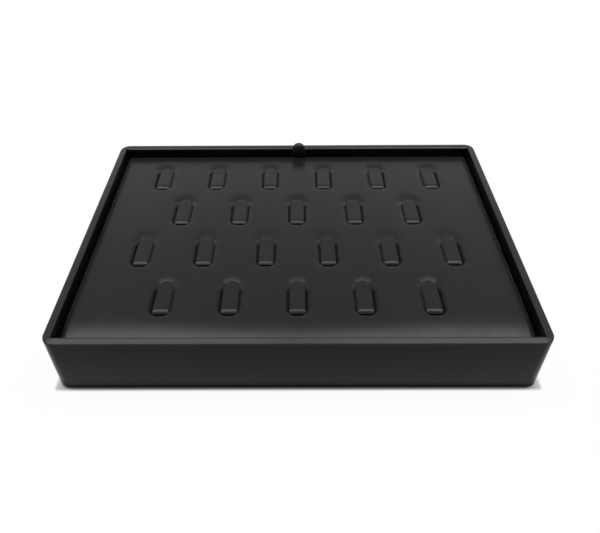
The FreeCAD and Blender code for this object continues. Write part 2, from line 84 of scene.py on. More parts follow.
HINGE_LEVEL = FLEX_JOINTS["clip_a1"].z

# Mesh data that the finishes read
GRAIN = "grain"
# Mark of the painted shade round the slits, on the tongues and at the tab's foot, from 0 to 1
PAINTED_SHADE = "pressed"

# Steps of the meshes
CORNER_STEPS, CROWN_STEPS = 16, 8
FELT_STEPS = 23
EDGE_STEPS, ROUND_STEPS, HEM_STEPS = 7, 7, 4
COVER_STEPS, FOAM_STEPS = 12, 6
COVER_RINGS, COVER_LIP_STEPS = 12, 8
HIDDEN_RINGS, HIDDEN_LIP_STEPS = 5, 3
TONGUE_ARCH_STEPS, TONGUE_SIDE_STEPS, TONGUE_CORNER_STEPS = 12, 14, 4
TONGUE_FRONT_STEPS, TONGUE_TOP_STEPS = 6, 8
TAB_ROUND_STEPS, TAB_SIDE_STEPS, TAB_FOOT_STEPS = 16, 40, 8

# Points nearer than this are one point, and faces thinner than a sliver go, in metres
MERGE_DISTANCE, SLIVER = 1e-6, 1e-7
# Faces that meet at more than these angles show an edge, in degrees
FELT_EDGE, WRAP_EDGE, SOFT_EDGE = 40, 50, 60

# Share of a height that runs along the grain in the flat grain map; the rest runs across it
GRAIN_SHEAR = 0.9
# Rounding of the felt's edge as a share of its thickness, and the rings over it as shares of that rounding
FELT_NAP_SHARE = 0.35
FELT_RINGS = (0, 0.1, 0.3, 0.6, 1, 8)
# The front roll broadens out to this share of the pad's half width
FRONT_BROAD_SHARE = 0.6
# Share of an arch's radius by which its dimple bows forward at the flanks
DIMPLE_BOW = 0.3
# A slit starts to open this share of the arch's radius before the arch's rear
OPENING_START = 0.7
# The rings of a cell crowd towards its window, and the points along a tongue's side towards its front end
RING_CROWDING, SIDE_CROWDING = 1.7, 2.2
# Share of the lip over which its slope sets in
LIP_BLEND = 0.12
# Share of the lip that takes the full painted shade, and how the painted shade fades from there
PAINTED_SHADE_CORE, PAINTED_SHADE_FADE = 0.25, 1.5
# The rings of a tongue end at this share of its half width
TONGUE_SPINE_SHARE = 0.97
# Height of the tab's round head as a share of its half width, and its inner rings as shares of that height
TAB_HEAD_SHARE = 0.5
TAB_RINGS = (1 / 3, 0.6, 0.95)
# Share of the two plies that a rounded edge may take, and the power by which the tab's end curls back
PLY_SHARE = 0.45
CURL_BEND = 1.15

# Brushed streaks and pebbles of the leatherette, in cells per metre along each axis
WRAP_STREAK, PAD_STREAK = (60, 1300, 1), (70, 1200, 1)
PEBBLE = (2600, 3200, 1)
WRAP_RELIEF, PAD_RELIEF = 0.4, 0.2
GRAIN_DEPTH = 0.00012
CLOUD_SHARE = 0.12
STREAK_WEIGHT = 0.7
SATIN_SPREAD = 0.04
# Painted highlight on the rim: its fade at the edges in metres, and the spread of its strength over the streaks
RIM_HIGHLIGHT_FADE = 0.0012
RIM_HIGHLIGHT_SPREAD = (0.8, 1.2)
PAD_SHEEN_SPREAD = 0.4
# Roughness that the painted shade mark gives, where the painted shade makes the leatherette matt
PAINTED_SHADE_MATT = 0.85
QUARTER_TURN = 0.25
# Stretches of a noise between its dark and its light
STREAK_SPAN, CLOUD_SPAN = (0.3, 0.7), (0.35, 0.65)
FLECK_SPAN, CELL_SPAN = (0.35, 0.7), (0.1, 0.7)
# Share of the flecks in the fibreboard's colour; the rest is a slow drift
FLECK_WEIGHT = 0.75

# The floor lies this much below the tray, and is clear to rays shorter than its sight
FLOOR_GAP, FLOOR_SIGHT = 0.00005, 0.0003
WHITE = (1, 1, 1, 1)
# The camera's sensor, in millimetres
SENSOR_WIDTH = 36.0


# Settings
def metres(name, text, default):
    return bpy.props.FloatProperty(name=name, description=text, default=default, unit="LENGTH", precision=5)


def colour(name, text, default):
    return bpy.props.FloatVectorProperty(
        name=name, description=text, default=default, size=3, subtype="COLOR", min=0, max=1)


def factor(name, text, default):
    return bpy.props.FloatProperty(
        name=name, description=text, default=default, subtype="FACTOR", min=0, max=1)


def angle(name, text, degrees):
    return bpy.props.FloatProperty(
        name=name, description=text, default=math.radians(degrees), unit="ROTATION")


def point(name, text, default):
    return bpy.props.FloatVectorProperty(
        name=name, description=text, default=default, subtype="TRANSLATION", unit="LENGTH", precision=5)


def sides(name, text, default):
    return bpy.props.FloatVectorProperty(name=name, description=text, default=default, size=2, unit="LENGTH")


def power(name, text, default):
    return bpy.props.FloatProperty(name=name, description=text, default=default, unit="POWER", min=0)


class TraySettings(bpy.types.PropertyGroup):
    """Measures of the wrap round the tray"""
    corner_radius: metres("Corner radius", "Outside radius of the upright corners", 0.0085)
    rim_crown: metres("Rim crown", "Rise of the rim's middle over its edges", 0.00005)
    outer_round: metres("Outer rounding", "Rounding from the rim to the outer face", 0.0007)
    inner_round: metres("Inner rounding", "Rounding from the rim to the inner face", 0.0004)
    front_inner_round: metres("Front inner rounding", "Rounding from the front rim to the inner face", 0.0013)
    rear_inner_round: metres("Rear inner rounding", "Rounding from the rear rim to the inner face", 0.0005)
    rear_bevel: metres("Rear bevel", "Width of the rear rim's stretch that slopes to the inside", 0.0019)
    rear_bevel_slope: angle("Rear bevel slope", "Slope of that stretch", 33)
    front_lean: angle("Front lean", "The front rim's slope to the outside", 12.5)
    rear_lean: angle("Rear lean", "The rear rim's slope to the inside", -2)
    rear_rise: metres("Rear rise", "The rear rim above the front rim", 0.0009)
    foot_round: metres("Foot rounding", "Rounding of the bottom edge", 0.0003)
    hem_width: metres("Hem width", "Wrap turned in under the base", 0.012)
    station_pitch: metres("Station pitch", "Spacing of the mesh stations along the walls", 0.008)


class PadSettings(bpy.types.PropertyGroup):
    """Measures of the padded insert"""
    corner_radius: metres("Corner radius", "Upright corners of the pad", 0.004)
    edge_round: metres("Edge rounding", "Rounding where the top turns down", 0.003)
    front_roll: sides("Front roll", "Width and fall of the crown towards the front edge", (0.021, 0.0026))
    front_broader: factor("Front broadening", "How much larger the front roll gets towards the sides", 0.36)
    side_roll: sides("Side roll", "Width and fall of the crown towards the side edges", (0.008, 0.0005))
    rear_roll: sides("Rear roll", "Width and fall towards the rear edge; below 0 it rises", (0.012, -0.0005))
    swell: sides("Swell", "Width from the edges and height of the padded top's swell", (0.03, 0.0002))
    hem_width: metres("Hem width", "Cover turned in under the board", 0.012)
    hem_round: metres("Hem rounding", "Rounding of the bottom edge", 0.0008)
    cover_thickness: metres("Cover thickness", "Leatherette of the pad's cover", 0.0006)
    arch_gap: metres("Arch gap", "Gap between the cover and a clip's arch", 0.00003)
    arch_proud: metres("Arch step", "Cover above a clip at its arch", 0.00005)
    side_gap: metres("Side gap", "Open slit beside a clip", 0.0006)
    front_gap: metres("Front gap", "Open slit before a clip", 0.0021)
    opening_run: metres("Opening run", "The slit opens over this length from the arch's flank", 0.011)
    window_corner: metres("Window corner", "Front corners of a pressed window", 0.0045)
    window_depth: metres("Window depth", "Depth of a pressed window", 0.0032)
    lip: metres("Lip", "Width of the pressed slope at a window's edge", 0.003)
    lip_fall: metres("Lip fall", "Depth of the pressed slope at a window's edge", 0.0016)
    arch_lip: metres("Arch lip", "Rounding of a window's edge at the arch", 0.00008)
    dimple_reach: metres("Dimple reach", "The cover is drawn down over this distance behind an arch", 0.0108)
    dimple_over: metres("Dimple overrun", "The dimple runs on over this distance at an arch's flanks", 0.0016)
    dimple_side_reach: metres("Dimple side reach", "The same beside a clip", 0.009)
    dimple_run: metres("Dimple run", "The drawn-down ring fades over this length beside a clip", 0.014)
    dimple_side: factor("Dimple side", "What stays of the dimple beside a clip", 0.3)
    # Painted shade on the cover round each slit
    painted_shade_reach: metres("Crease", "The cover darkens over this distance round a lip of the front row", 0.0034)
    rear_painted_shade_reach: metres("Rear crease", "The same round a lip of the rear row", 0.002)
    painted_shade_run: metres("Crease run", "The crease starts over this length from the arch's flank", 0.009)


class ClipSettings(bpy.types.PropertyGroup):
    """Measures of a clip's tongue"""
    length: metres("Length", "Arch to front end", 0.033)
    rear_thickness: metres("Rear thickness", "Tongue at the arch", 0.0018)
    front_thickness: metres("Front thickness", "Tongue at the front end", 0.0022)
    nose_length: metres("Nose length", "Sloping stretch at the front end", 0.0046)
    nose_blend: metres("Nose blend", "The slope starts over this length", 0.004)
    nose_slope: angle("Nose slope", "Slope of the front end", 29)
    front_corner: metres("Front corner", "Corners of the front end, seen from above", 0.0007)
    edge_round: metres("Edge rounding", "Rounding along the sides and the front end", 0.0004)
    arch_round: metres("Arch rounding", "Rounding along the arch", 0.0001)
    lower_round: metres("Lower rounding", "Rounding of the lower edge", 0.0002)
    crown: metres("Crown", "Rise of the middle of the tongue", 0.00015)
    rise: metres("Rise", "Front end above the arch", 0.0004)
    # Painted shade along a tongue's sides and below its nose
    painted_shade_reach: metres("Crease", "The tongue darkens over this distance from its sides", 0.001)


class TabSettings(bpy.types.PropertyGroup):
    """Measures of the pull tab"""
    foot_thickness: metres("Foot thickness", "Ply folded under the board", 0.0009)
    bend_radius: metres("Bend radius", "Outer bend from the foot to the upright tail", 0.002)
    edge_round: metres("Edge rounding", "Rounded edges of the two plies", 0.0006)
    ply_groove: metres("Ply groove", "Depth of the line between the two plies", 0.0002)
    lean_start: metres("Lean start", "The tab curves back over this length below its top", 0.0125)
    lean: metres("Lean", "The tab's top behind its foot", 0.0026)
    curl: sides("Curl", "Height and backward reach of the tab's curled end", (0.0016, 0.0022))
    trim: metres("Trim", "The curved tab stands this much below the straight one", 0.0022)
    # Painted shade on the tab towards its slot in the pad
    painted_shade_reach: metres("Crease", "Height above the pad up to which the tab darkens towards its slot", 0.0105)
    painted_shade_run: metres("Crease run", "The darkening sets in over this height", 0.005)


class FinishSettings(bpy.types.PropertyGroup):
    """Colours and gloss of the materials"""
    wrap_dyed: colour("Wrap", "Dyed surface of the wrap", (0.0014, 0.0014, 0.0015))
    wrap_worn: colour("Worn wrap", "Raised grain of the wrap", (0.005, 0.0049, 0.0048))
    pad_dyed: colour("Pad", "Dyed surface of the pad, clips and tab", (0.005, 0.0053, 0.0056))
    pad_worn: colour("Worn pad", "Raised grain of the pad, clips and tab", (0.0092, 0.0096, 0.01))
    # Painted shade: the darker colour round the slits, on the tongues and at the tab's foot
    pad_painted_shade: colour("Painted crease shade", "Painted shade where they turn down into a slit", (0.0022, 0.0022, 0.0024))
    # Painted highlight: a lighter colour laid on the wrap's rim, standing in for the light it catches
    rim_painted_highlight: colour("Painted rim highlight", "Lighter colour painted on the rim as its highlight", (0.022, 0.0224, 0.0227))
    wrap_gloss: factor("Wrap gloss", "Specular level of the wrap's leatherette", 0.118)
    pad_gloss: factor("Pad gloss", "Specular level of the pad's leatherette", 0.15)
    wrap_satin: factor("Wrap satin", "Roughness of the wrap's leatherette", 0.25)
    pad_satin: factor("Pad satin", "Roughness of the pad's leatherette", 0.285)
    pad_sheen: factor("Pad sheen", "Soft sheen of the pad's leatherette", 0.15)
    brushed: factor("Brushed", "How far the grain draws out the gloss across the streaks", 0.3)
    fibreboard: colour("Fibreboard", "Raw board", (0.36, 0.25, 0.15))
    felt: colour("Felt", "Felt under the tray", (0.03, 0.03, 0.032))
    lining: colour("Lining", "Paper on the floor", (0.03, 0.03, 0.031))
    card: colour("Card", "Card under the pad", (0.4, 0.32, 0.23))
    foam: colour("Foam", "Foam sheet of the pad", (0.62, 0.6, 0.56))
    steel: colour("Steel", "Spring strips", (0.6, 0.6, 0.62))


class StageSettings(bpy.types.PropertyGroup):
    """Camera, lights and floor"""
    camera_place: point("Camera place", "Where the camera stands", (-0.00008, -0.37086, 0.35779))
    camera_pitch: angle("Camera pitch", "Camera below the horizon", 40.677)
    camera_yaw: angle("Camera yaw", "Camera turned to the right", -0.461)
    camera_roll: angle("Camera roll", "Camera rolled to the left", -0.485)
    lens: bpy.props.FloatProperty(name="Lens", description="Focal length on a 36 mm sensor", default=34.5,
                                  subtype="DISTANCE_CAMERA")
    shift: bpy.props.FloatVectorProperty(
        name="Shift", description="Sensor shift as a share of the frame's width", size=2,
        default=(0.0108, -0.0521))
    top_power: power("Top lights", "Power of each overhead softbox in watts", 8.0)
    top_size: sides("Top light size", "Each overhead softbox along X and Y", (0.75, 0.4))
    top_place: point("Top light place", "Centre of the right overhead softbox", (0.41, 0.13, 1.0))
    top_colour: colour("Top light colour", "Slightly warm overhead light", (1.0, 0.955, 0.915))
    rear_power: power("Rear light", "Power of the faint strip behind the tray in watts", 2.0)
    rear_size: sides("Rear light size", "Faint strip along X and up", (2.4, 0.7))
    rear_place: point("Rear light place", "Centre of the faint strip", (0.0, 1.5, 0.77))
    rear_colour: colour("Rear light colour", "Neutral rear light", (1.0, 1.0, 1.0))
    ambient: factor("Ambient", "Level of the soft surround", 0.1)
    floor_lift: factor("Floor lift", "Glow that keeps the floor white", 0.02)
    floor_size: metres("Floor size", "Side of the floor", 6.0)
    floor_colour: colour("Floor", "Paper floor", (0.85, 0.85, 0.85))
    contact_start: metres("Contact start", "The floor keeps all of its shading up to this distance", 0.0008)
    contact_reach: metres("Contact reach", "Most of the shading fades to white up to here", 0.0034)
    shadow_reach: metres("Shadow reach", "The last of the floor's shading fades over this distance", 0.12)
    contact_share: factor("Contact share", "Share of the shading that fades with the contact", 0.96)


# Mesh helpers
def smooth_step(value):
    """0 below 0 and 1 above 1, with a smooth way between."""
    value = np.clip(value, 0, 1)
    return value * value * (3 - 2 * value)


def fall(distance, radius):
    """Drop of a round edge at a distance in from that edge."""
    inward = np.clip(radius - distance, 0, radius)
    return radius - np.sqrt(np.maximum(radius ** 2 - inward ** 2, 0))


def shares_of(steps):
    """Equal shares of a way, without its start."""
    return np.linspace(0, 1, steps + 1)[1:]


def quarter_turn(steps):
    """Angles from 0 to a quarter turn."""
    return np.linspace(0, math.pi / 2, steps + 1)


def edge_insets(radius):
    """How far in the rings over a round edge lie."""
    return list(radius * (1 - np.cos(quarter_turn(ROUND_STEPS))))


def line(first, last, shares):
    """Points at shares of the way from one place to another."""
    return np.asarray(first) + np.multiply.outer(shares, np.subtract(last, first))


def grid_faces(rows, columns, close_rows=False, close_columns=False):
    """Quads over a grid of points numbered row by row."""
    quads = []
    for i in range(rows if close_rows else rows - 1):
        for j in range(columns if close_columns else columns - 1):
            k, m = (i + 1) % rows, (j + 1) % columns
            quads.append((i * columns + j, i * columns + m, k * columns + m, k * columns + j))
    return quads


def bridge(first, second):
    """Quads between two closed loops of point numbers."""
    count = len(first)
    return [(first[k], first[(k + 1) % count], second[(k + 1) % count], second[k]) for k in range(count)]


def across_faces(first, count):
    """Closes a ring that mirrors left to right: quads across it, with a triangle at both ends."""
    half = count // 2
    faces = [(first, first + 1, first + count - 1), (first + half - 1, first + half, first + half + 1)]
    for k in range(1, half - 1):
        faces.append((first + k, first + k + 1, first + count - k - 1, first + count - k))
    return faces


def eased_slope(distance, blend):
    """Depth of a slope of 1 that sets in smoothly over a blend length."""
    return np.where(distance < blend, distance ** 2 / (2 * blend), distance - blend / 2)


def make_object(name, points, faces, material, sharp, lay_grain=None):
    """Object with a clean, smoothly shaded mesh. lay_grain maps the grain while the points are in order."""
    mesh = bpy.data.meshes.new(name)
    mesh.from_pydata([tuple(map(float, p)) for p in points], [], faces)
    if lay_grain:
        lay_grain(mesh)
    work = bmesh.new()
    work.from_mesh(mesh)
    bmesh.ops.remove_doubles(work, verts=work.verts, dist=MERGE_DISTANCE)
    bmesh.ops.dissolve_degenerate(work, edges=work.edges, dist=SLIVER)
    bmesh.ops.recalc_face_normals(work, faces=work.faces)
    work.to_mesh(mesh)
    work.free()
    mesh.shade_smooth()
    mesh.set_sharp_from_angle(angle=math.radians(sharp))
    mesh.materials.append(material)
    thing = bpy.data.objects.new(name, mesh)
    bpy.context.scene.collection.objects.link(thing)
    return thing


def lay_flat_grain(thing):
    """Grain map in metres for a piece whose grain runs front to rear, or up where it stands."""
    mesh = thing.data
    layer = mesh.uv_layers.new(name=GRAIN)
    for loop in mesh.loops:
        x, y, z = mesh.vertices[loop.vertex_index].co
        layer.data[loop.index].uv = (y + GRAIN_SHEAR * z, x + (1 - GRAIN_SHEAR) * z)


def mark_painted_shade(thing, pressed):
    """Marks each point of a mesh with how much painted shade it takes, from 0 to 1, by its place."""
    mesh = thing.data
    places = np.empty(3 * len(mesh.vertices))
    mesh.vertices.foreach_get("co", places)
    marks = mesh.attributes.new(PAINTED_SHADE, "FLOAT", "POINT")
    marks.data.foreach_set("value", pressed(*places.reshape(-1, 3).T).astype(np.float32))


def plate(inset_outline, upper_insets, upper_height, lower_insets, lower_height):
    """Closed plate: rings of an outline set in step by step on both faces, joined at the edge."""
    rings = []
    steps = [(inset, lower_height) for inset in reversed(lower_insets)]
    for inset, height in steps + [(inset, upper_height) for inset in upper_insets]:
        plan = inset_outline(inset)
        rings.append(np.column_stack([plan, np.broadcast_to(height(plan, inset), len(plan))]))
    count = len(rings[0])
    points = np.concatenate(rings)
    faces = grid_faces(len(rings), count, close_columns=True)
    faces += across_faces(0, count) + across_faces((len(rings) - 1) * count, count)
    return points, faces


def mirrored_loop(right_half):
    """Closed loop from its right half, which runs from the rear middle to the front middle."""
    right_half = np.asarray(right_half)
    left = right_half[-2:0:-1] * np.array([-1, 1])
    return np.concatenate([right_half, left])


# Finishes
def feed(tree, node, inputs):
    """Links each input of a node to its socket, or sets it to its value."""
    for name, value in inputs.items():
        if isinstance(value, bpy.types.NodeSocket):
            tree.links.new(value, node.inputs[name])
        else:
            node.inputs[name].default_value = value


def add_node(tree, kind, inputs, **options):
    """New node with its options set and its inputs linked or set."""
    node = tree.nodes.new(kind)
    for name, value in options.items():
        setattr(node, name, value)
    feed(tree, node, inputs)
    return node


def new_material(name):
    """New material with its node tree and its shader."""
    material = bpy.data.materials.new(name)
    material.use_nodes = True
    tree = material.node_tree
    return material, tree, tree.nodes["Principled BSDF"]


def noise(tree, place, scale, detail=4.0, roughness=0.6):
    """Noise stretched by a scale for each axis, in cells per metre."""
    stretched = add_node(tree, "ShaderNodeMapping", {"Vector": place, "Scale": scale})
    texture = add_node(tree, "ShaderNodeTexNoise", {
        "Vector": stretched.outputs["Vector"], "Scale": 1.0, "Detail": detail, "Roughness": roughness})
    return texture.outputs["Fac"]


def ramp(tree, value, low, high, out_low, out_high):
    """Maps a stretch of a value onto another stretch."""
    node = add_node(tree, "ShaderNodeMapRange", {
        "Value": value, "From Min": low, "From Max": high, "To Min": out_low, "To Max": out_high})
    return node.outputs["Result"]


def combine(tree, operation, first, second=0):
    """Outcome of a sum on one or two values."""
    return add_node(tree, "ShaderNodeMath", {0: first, 1: second}, operation=operation).outputs["Value"]


def tint(tree, value, first, second):
    """Colour between two, by a value from 0 to 1."""
    ends = [end if isinstance(end, bpy.types.NodeSocket) else (*end, 1) for end in (first, second)]
    node = add_node(tree, "ShaderNodeMix", {"Factor": value, "A": ends[0], "B": ends[1]}, data_type="RGBA")
    return node.outputs["Result"]


def mix_shaders(tree, share, first, second):
    """Shader between two, by a share from 0 to 1."""
    return add_node(tree, "ShaderNodeMixShader", {"Fac": share, 1: first, 2: second}).outputs["Shader"]


def relief(tree, shader, height, strength, depth):
    """Bumps on a surface, of a depth in metres."""
    bumps = add_node(tree, "ShaderNodeBump", {"Height": height, "Strength": strength, "Distance": depth})
    feed(tree, shader, {"Normal": bumps.outputs["Normal"]})


def solid_place(tree):
    """Place in a piece, in metres along its own axes."""
    return tree.nodes.new("ShaderNodeTexCoord").outputs["Object"]


def times(shade, share):
    """Colour or scale with each part taken times a share."""
    return [share * part for part in shade]


def rim_highlight_mask(tree, place, streaks, stretch):
    """Mask of the rim's painted highlight: 1 on the stretch across the grain where the rim lies, with streaks, and
    0 beside it.
    """
    across = add_node(tree, "ShaderNodeSeparateXYZ", {"Vector": place}).outputs["Y"]
    low, high = stretch
    up = ramp(tree, across, low - RIM_HIGHLIGHT_FADE, low, 0, 1)
    down = ramp(tree, across, high, high + RIM_HIGHLIGHT_FADE, 1, 0)
    return combine(tree, "MULTIPLY", combine(tree, "MULTIPLY", up, down),
                   ramp(tree, streaks, *STREAK_SPAN, *RIM_HIGHLIGHT_SPREAD))


def leatherette_finish(name, finish, dyed, worn, gloss, satin, streak, grain_relief,
                       highlit_rim=None, painted_crease_shade=False):
    """Leatherette on a grain map, with streaks in cells per metre on each axis. The rim stretch is the stretch
    across the grain painted lighter as a highlight; the crease shade paints shade where the mesh is marked:
    darker, matt, with black specular tint."""
    material, tree, shader = new_material(name)
    place = add_node(tree, "ShaderNodeUVMap", {}, uv_map=GRAIN).outputs["UV"]
    tangent = add_node(tree, "ShaderNodeTangent", {}, direction_type="UV_MAP", uv_map=GRAIN)
    brushed = noise(tree, place, streak, detail=5.0, roughness=0.7)
    fine = noise(tree, place, PEBBLE, detail=2.0)
    cloudy = noise(tree, place, times(streak, CLOUD_SHARE), detail=2.0)
    raised = combine(tree, "ADD", ramp(tree, brushed, *STREAK_SPAN, 0, STREAK_WEIGHT),
                     ramp(tree, cloudy, *CLOUD_SPAN, 0, 1 - STREAK_WEIGHT))
    shade = tint(tree, raised, dyed, worn)
    roughness = ramp(tree, raised, 0, 1, satin + SATIN_SPREAD, satin - SATIN_SPREAD)
    # Painted highlight: a lighter colour over the rim's stretch
    if highlit_rim:
        shade = tint(tree, rim_highlight_mask(tree, place, brushed, highlit_rim), shade, finish.rim_painted_highlight)
    # Painted shade where the mesh is marked: a darker colour, more roughness and a black specular tint
    if painted_crease_shade:
        pressed = add_node(tree, "ShaderNodeAttribute", {}, attribute_name=PAINTED_SHADE).outputs["Fac"]
        shade = tint(tree, pressed, shade, finish.pad_painted_shade)
        roughness = combine(tree, "MAXIMUM", roughness, combine(tree, "MULTIPLY", pressed, PAINTED_SHADE_MATT))
        feed(tree, shader, {"Specular Tint": tint(tree, pressed, (1, 1, 1), (0, 0, 0)),
                            "Sheen Weight": finish.pad_sheen, "Sheen Roughness": PAD_SHEEN_SPREAD})
    feed(tree, shader, {
        "Base Color": shade, "Roughness": roughness, "Specular IOR Level": gloss,
        "Anisotropic": finish.brushed, "Anisotropic Rotation": QUARTER_TURN,
        "Tangent": tangent.outputs["Tangent"]})
    height = combine(tree, "ADD", combine(tree, "MULTIPLY", brushed, STREAK_WEIGHT),
                     combine(tree, "MULTIPLY", fine, 1 - STREAK_WEIGHT))
    relief(tree, shader, height, grain_relief, GRAIN_DEPTH)
    return material


def board_finish(name, shade):
    """Raw pressed fibres with darker flecks."""
    material, tree, shader = new_material(name)
    flecks = noise(tree, solid_place(tree), (900, 900, 900), detail=6.0, roughness=0.75)
    drift = noise(tree, solid_place(tree), (60, 60, 60))
    mottled = combine(tree, "ADD", ramp(tree, flecks, *FLECK_SPAN, 0, FLECK_WEIGHT),
                      ramp(tree, drift, *STREAK_SPAN, 0, 1 - FLECK_WEIGHT))
    feed(tree, shader, {"Base Color": tint(tree, mottled, times(shade, 0.55), shade),
                        "Roughness": 0.85, "Specular IOR Level": 0.2})
    relief(tree, shader, flecks, strength=0.4, depth=0.0002)
    return material


def paper_finish(name, shade, roughness):
    """Sheet with fine fibres."""
    material, tree, shader = new_material(name)
    fibres = noise(tree, solid_place(tree), (350, 2200, 2200), detail=5.0, roughness=0.7)
    streaky = ramp(tree, fibres, *STREAK_SPAN, 0, 1)
    feed(tree, shader, {"Base Color": tint(tree, streaky, times(shade, 0.75), shade),
                        "Roughness": roughness, "Specular IOR Level": 0.25})
    relief(tree, shader, fibres, strength=0.25, depth=0.0001)
    return material


def felt_finish(name, shade):
    """Matted fibres with a soft sheen."""
    material, tree, shader = new_material(name)
    matted = noise(tree, solid_place(tree), (1500, 1500, 1500), detail=8.0, roughness=0.8)
    fluffy = ramp(tree, matted, *STREAK_SPAN, 0, 1)
    feed(tree, shader, {"Base Color": tint(tree, fluffy, shade, times(shade, 1.6)), "Roughness": 0.95,
                        "Specular IOR Level": 0.1, "Sheen Weight": 0.25, "Sheen Roughness": 0.5})
    relief(tree, shader, matted, strength=0.7, depth=0.0004)
    return material


def foam_finish(name, shade):
    """Open cells about half a millimetre wide."""
    material, tree, shader = new_material(name)
    cells = add_node(tree, "ShaderNodeTexVoronoi", {"Vector": solid_place(tree), "Scale": 1900.0})
    depth = cells.outputs["Distance"]
    hollow = ramp(tree, depth, *CELL_SPAN, 0, 1)
    feed(tree, shader, {"Base Color": tint(tree, hollow, times(shade, 0.6), shade),
                        "Roughness": 0.95, "Specular IOR Level": 0.1})
    relief(tree, shader, depth, strength=0.6, depth=0.0003)
    return material


def steel_finish(name, shade):
    """Cold-rolled strip with lines along its length."""
    material, tree, shader = new_material(name)
    rolled = noise(tree, solid_place(tree), (4000, 60, 4000), detail=3.0)
    feed(tree, shader, {"Base Color": tint(tree, rolled, times(shade, 0.8), shade), "Metallic": 1.0,
                        "Roughness": ramp(tree, rolled, *STREAK_SPAN, 0.28, 0.42)})
    relief(tree, shader, rolled, strength=0.1, depth=0.00005)
    return material


def rim_stretch():
    """Where the rim lies across the wrap's grain map, measured from the hem: the stretch that gets the painted
    highlight.
    """
    tray = bpy.context.scene.ring_tray_tray
    # A round edge is shorter than its two sides by this share of its radius
    shortcut = 2 - math.pi / 2
    cut = shortcut * (tray.foot_round + tray.outer_round / 2)
    start = tray.hem_width + WRAP_HIGH.z - WRAP_LOW.z - cut
    return start, start + RIM - tray.inner_round


FINISHES = {
    # The wrap gets a painted highlight on its rim
    "leatherette": lambda name, f: leatherette_finish(
        name, f, f.wrap_dyed, f.wrap_worn, f.wrap_gloss, f.wrap_satin, WRAP_STREAK, WRAP_RELIEF,
        highlit_rim=rim_stretch()),
    # The pad's leatherette gets painted shade where its meshes are marked
    "pad_leatherette": lambda name, f: leatherette_finish(
        name, f, f.pad_dyed, f.pad_worn, f.pad_gloss, f.pad_satin, PAD_STREAK, PAD_RELIEF, painted_crease_shade=True),
    "fibreboard": lambda name, f: board_finish(name, f.fibreboard),
    "felt": lambda name, f: felt_finish(name, f.felt),
    "lining": lambda name, f: paper_finish(name, f.lining, roughness=0.75),
    "card": lambda name, f: paper_finish(name, f.card, roughness=0.85),
    "foam": lambda name, f: foam_finish(name, f.foam),
    "spring_steel": lambda name, f: steel_finish(name, f.steel),
}


def finish_of(slot):
    """The material of one slot, made when it is first asked for."""
    name = f"finish_{slot}"
    return bpy.data.materials.get(name) or FINISHES[slot](name, bpy.context.scene.ring_tray_finish)


def dress(*nodes):
    """Gives CAD nodes the finish of the slots that the record names."""
    slots = {row["node"]: row["material_slot"] for row in frame["record"]["subparts"]}
    for name in nodes:
        materials = frame["nodes"][name].data.materials
        materials.clear()
        materials.append(finish_of(slots[name]))


# Tray wrap
def wrap_stations(tray):
    """Matching plan points round the tray: on its outer face, on the well and on the hem's inner edge."""
    half_x, half_y, radius = WRAP_HIGH.x, WRAP_HIGH.y, tray.corner_radius
    well_x, well_y = half_x - RIM, half_y - RIM
    hem_x, hem_y = half_x - tray.hem_width, half_y - tray.hem_width
    centre_x, centre_y = half_x - radius, half_y - radius
    side_steps = round(centre_y / tray.station_pitch)
    rear_steps = round(centre_x / tray.station_pitch)
    quarter = []
    for share in np.linspace(0, 1, side_steps + 1)[:-1]:
        y = centre_y * share
        quarter.append(((half_x, y), (well_x, y), (hem_x, hem_y * share)))
    for turn in quarter_turn(CORNER_STEPS):
        outer = (centre_x + radius * math.cos(turn), centre_y + radius * math.sin(turn))
        if turn <= math.pi / 4:
            well = (well_x, centre_y + (well_x - centre_x) * math.tan(turn))
        else:
            well = (centre_x + (well_y - centre_y) / math.tan(turn), well_y)
        quarter.append((outer, well, (hem_x, hem_y)))
    for share in np.linspace(1, 0, rear_steps + 1)[1:]:
        x = centre_x * share
        quarter.append(((x, half_y), (x, well_y), (hem_x * share, hem_y)))
    quarter = np.array(quarter)
    loop = []
    for mirror, backward in (((1, 1), False), ((-1, 1), True), ((-1, -1), False), ((1, -1), True)):
        part = quarter[::-1] if backward else quarter
        loop.append(part[:-1] * np.array(mirror))
    return np.concatenate(loop)


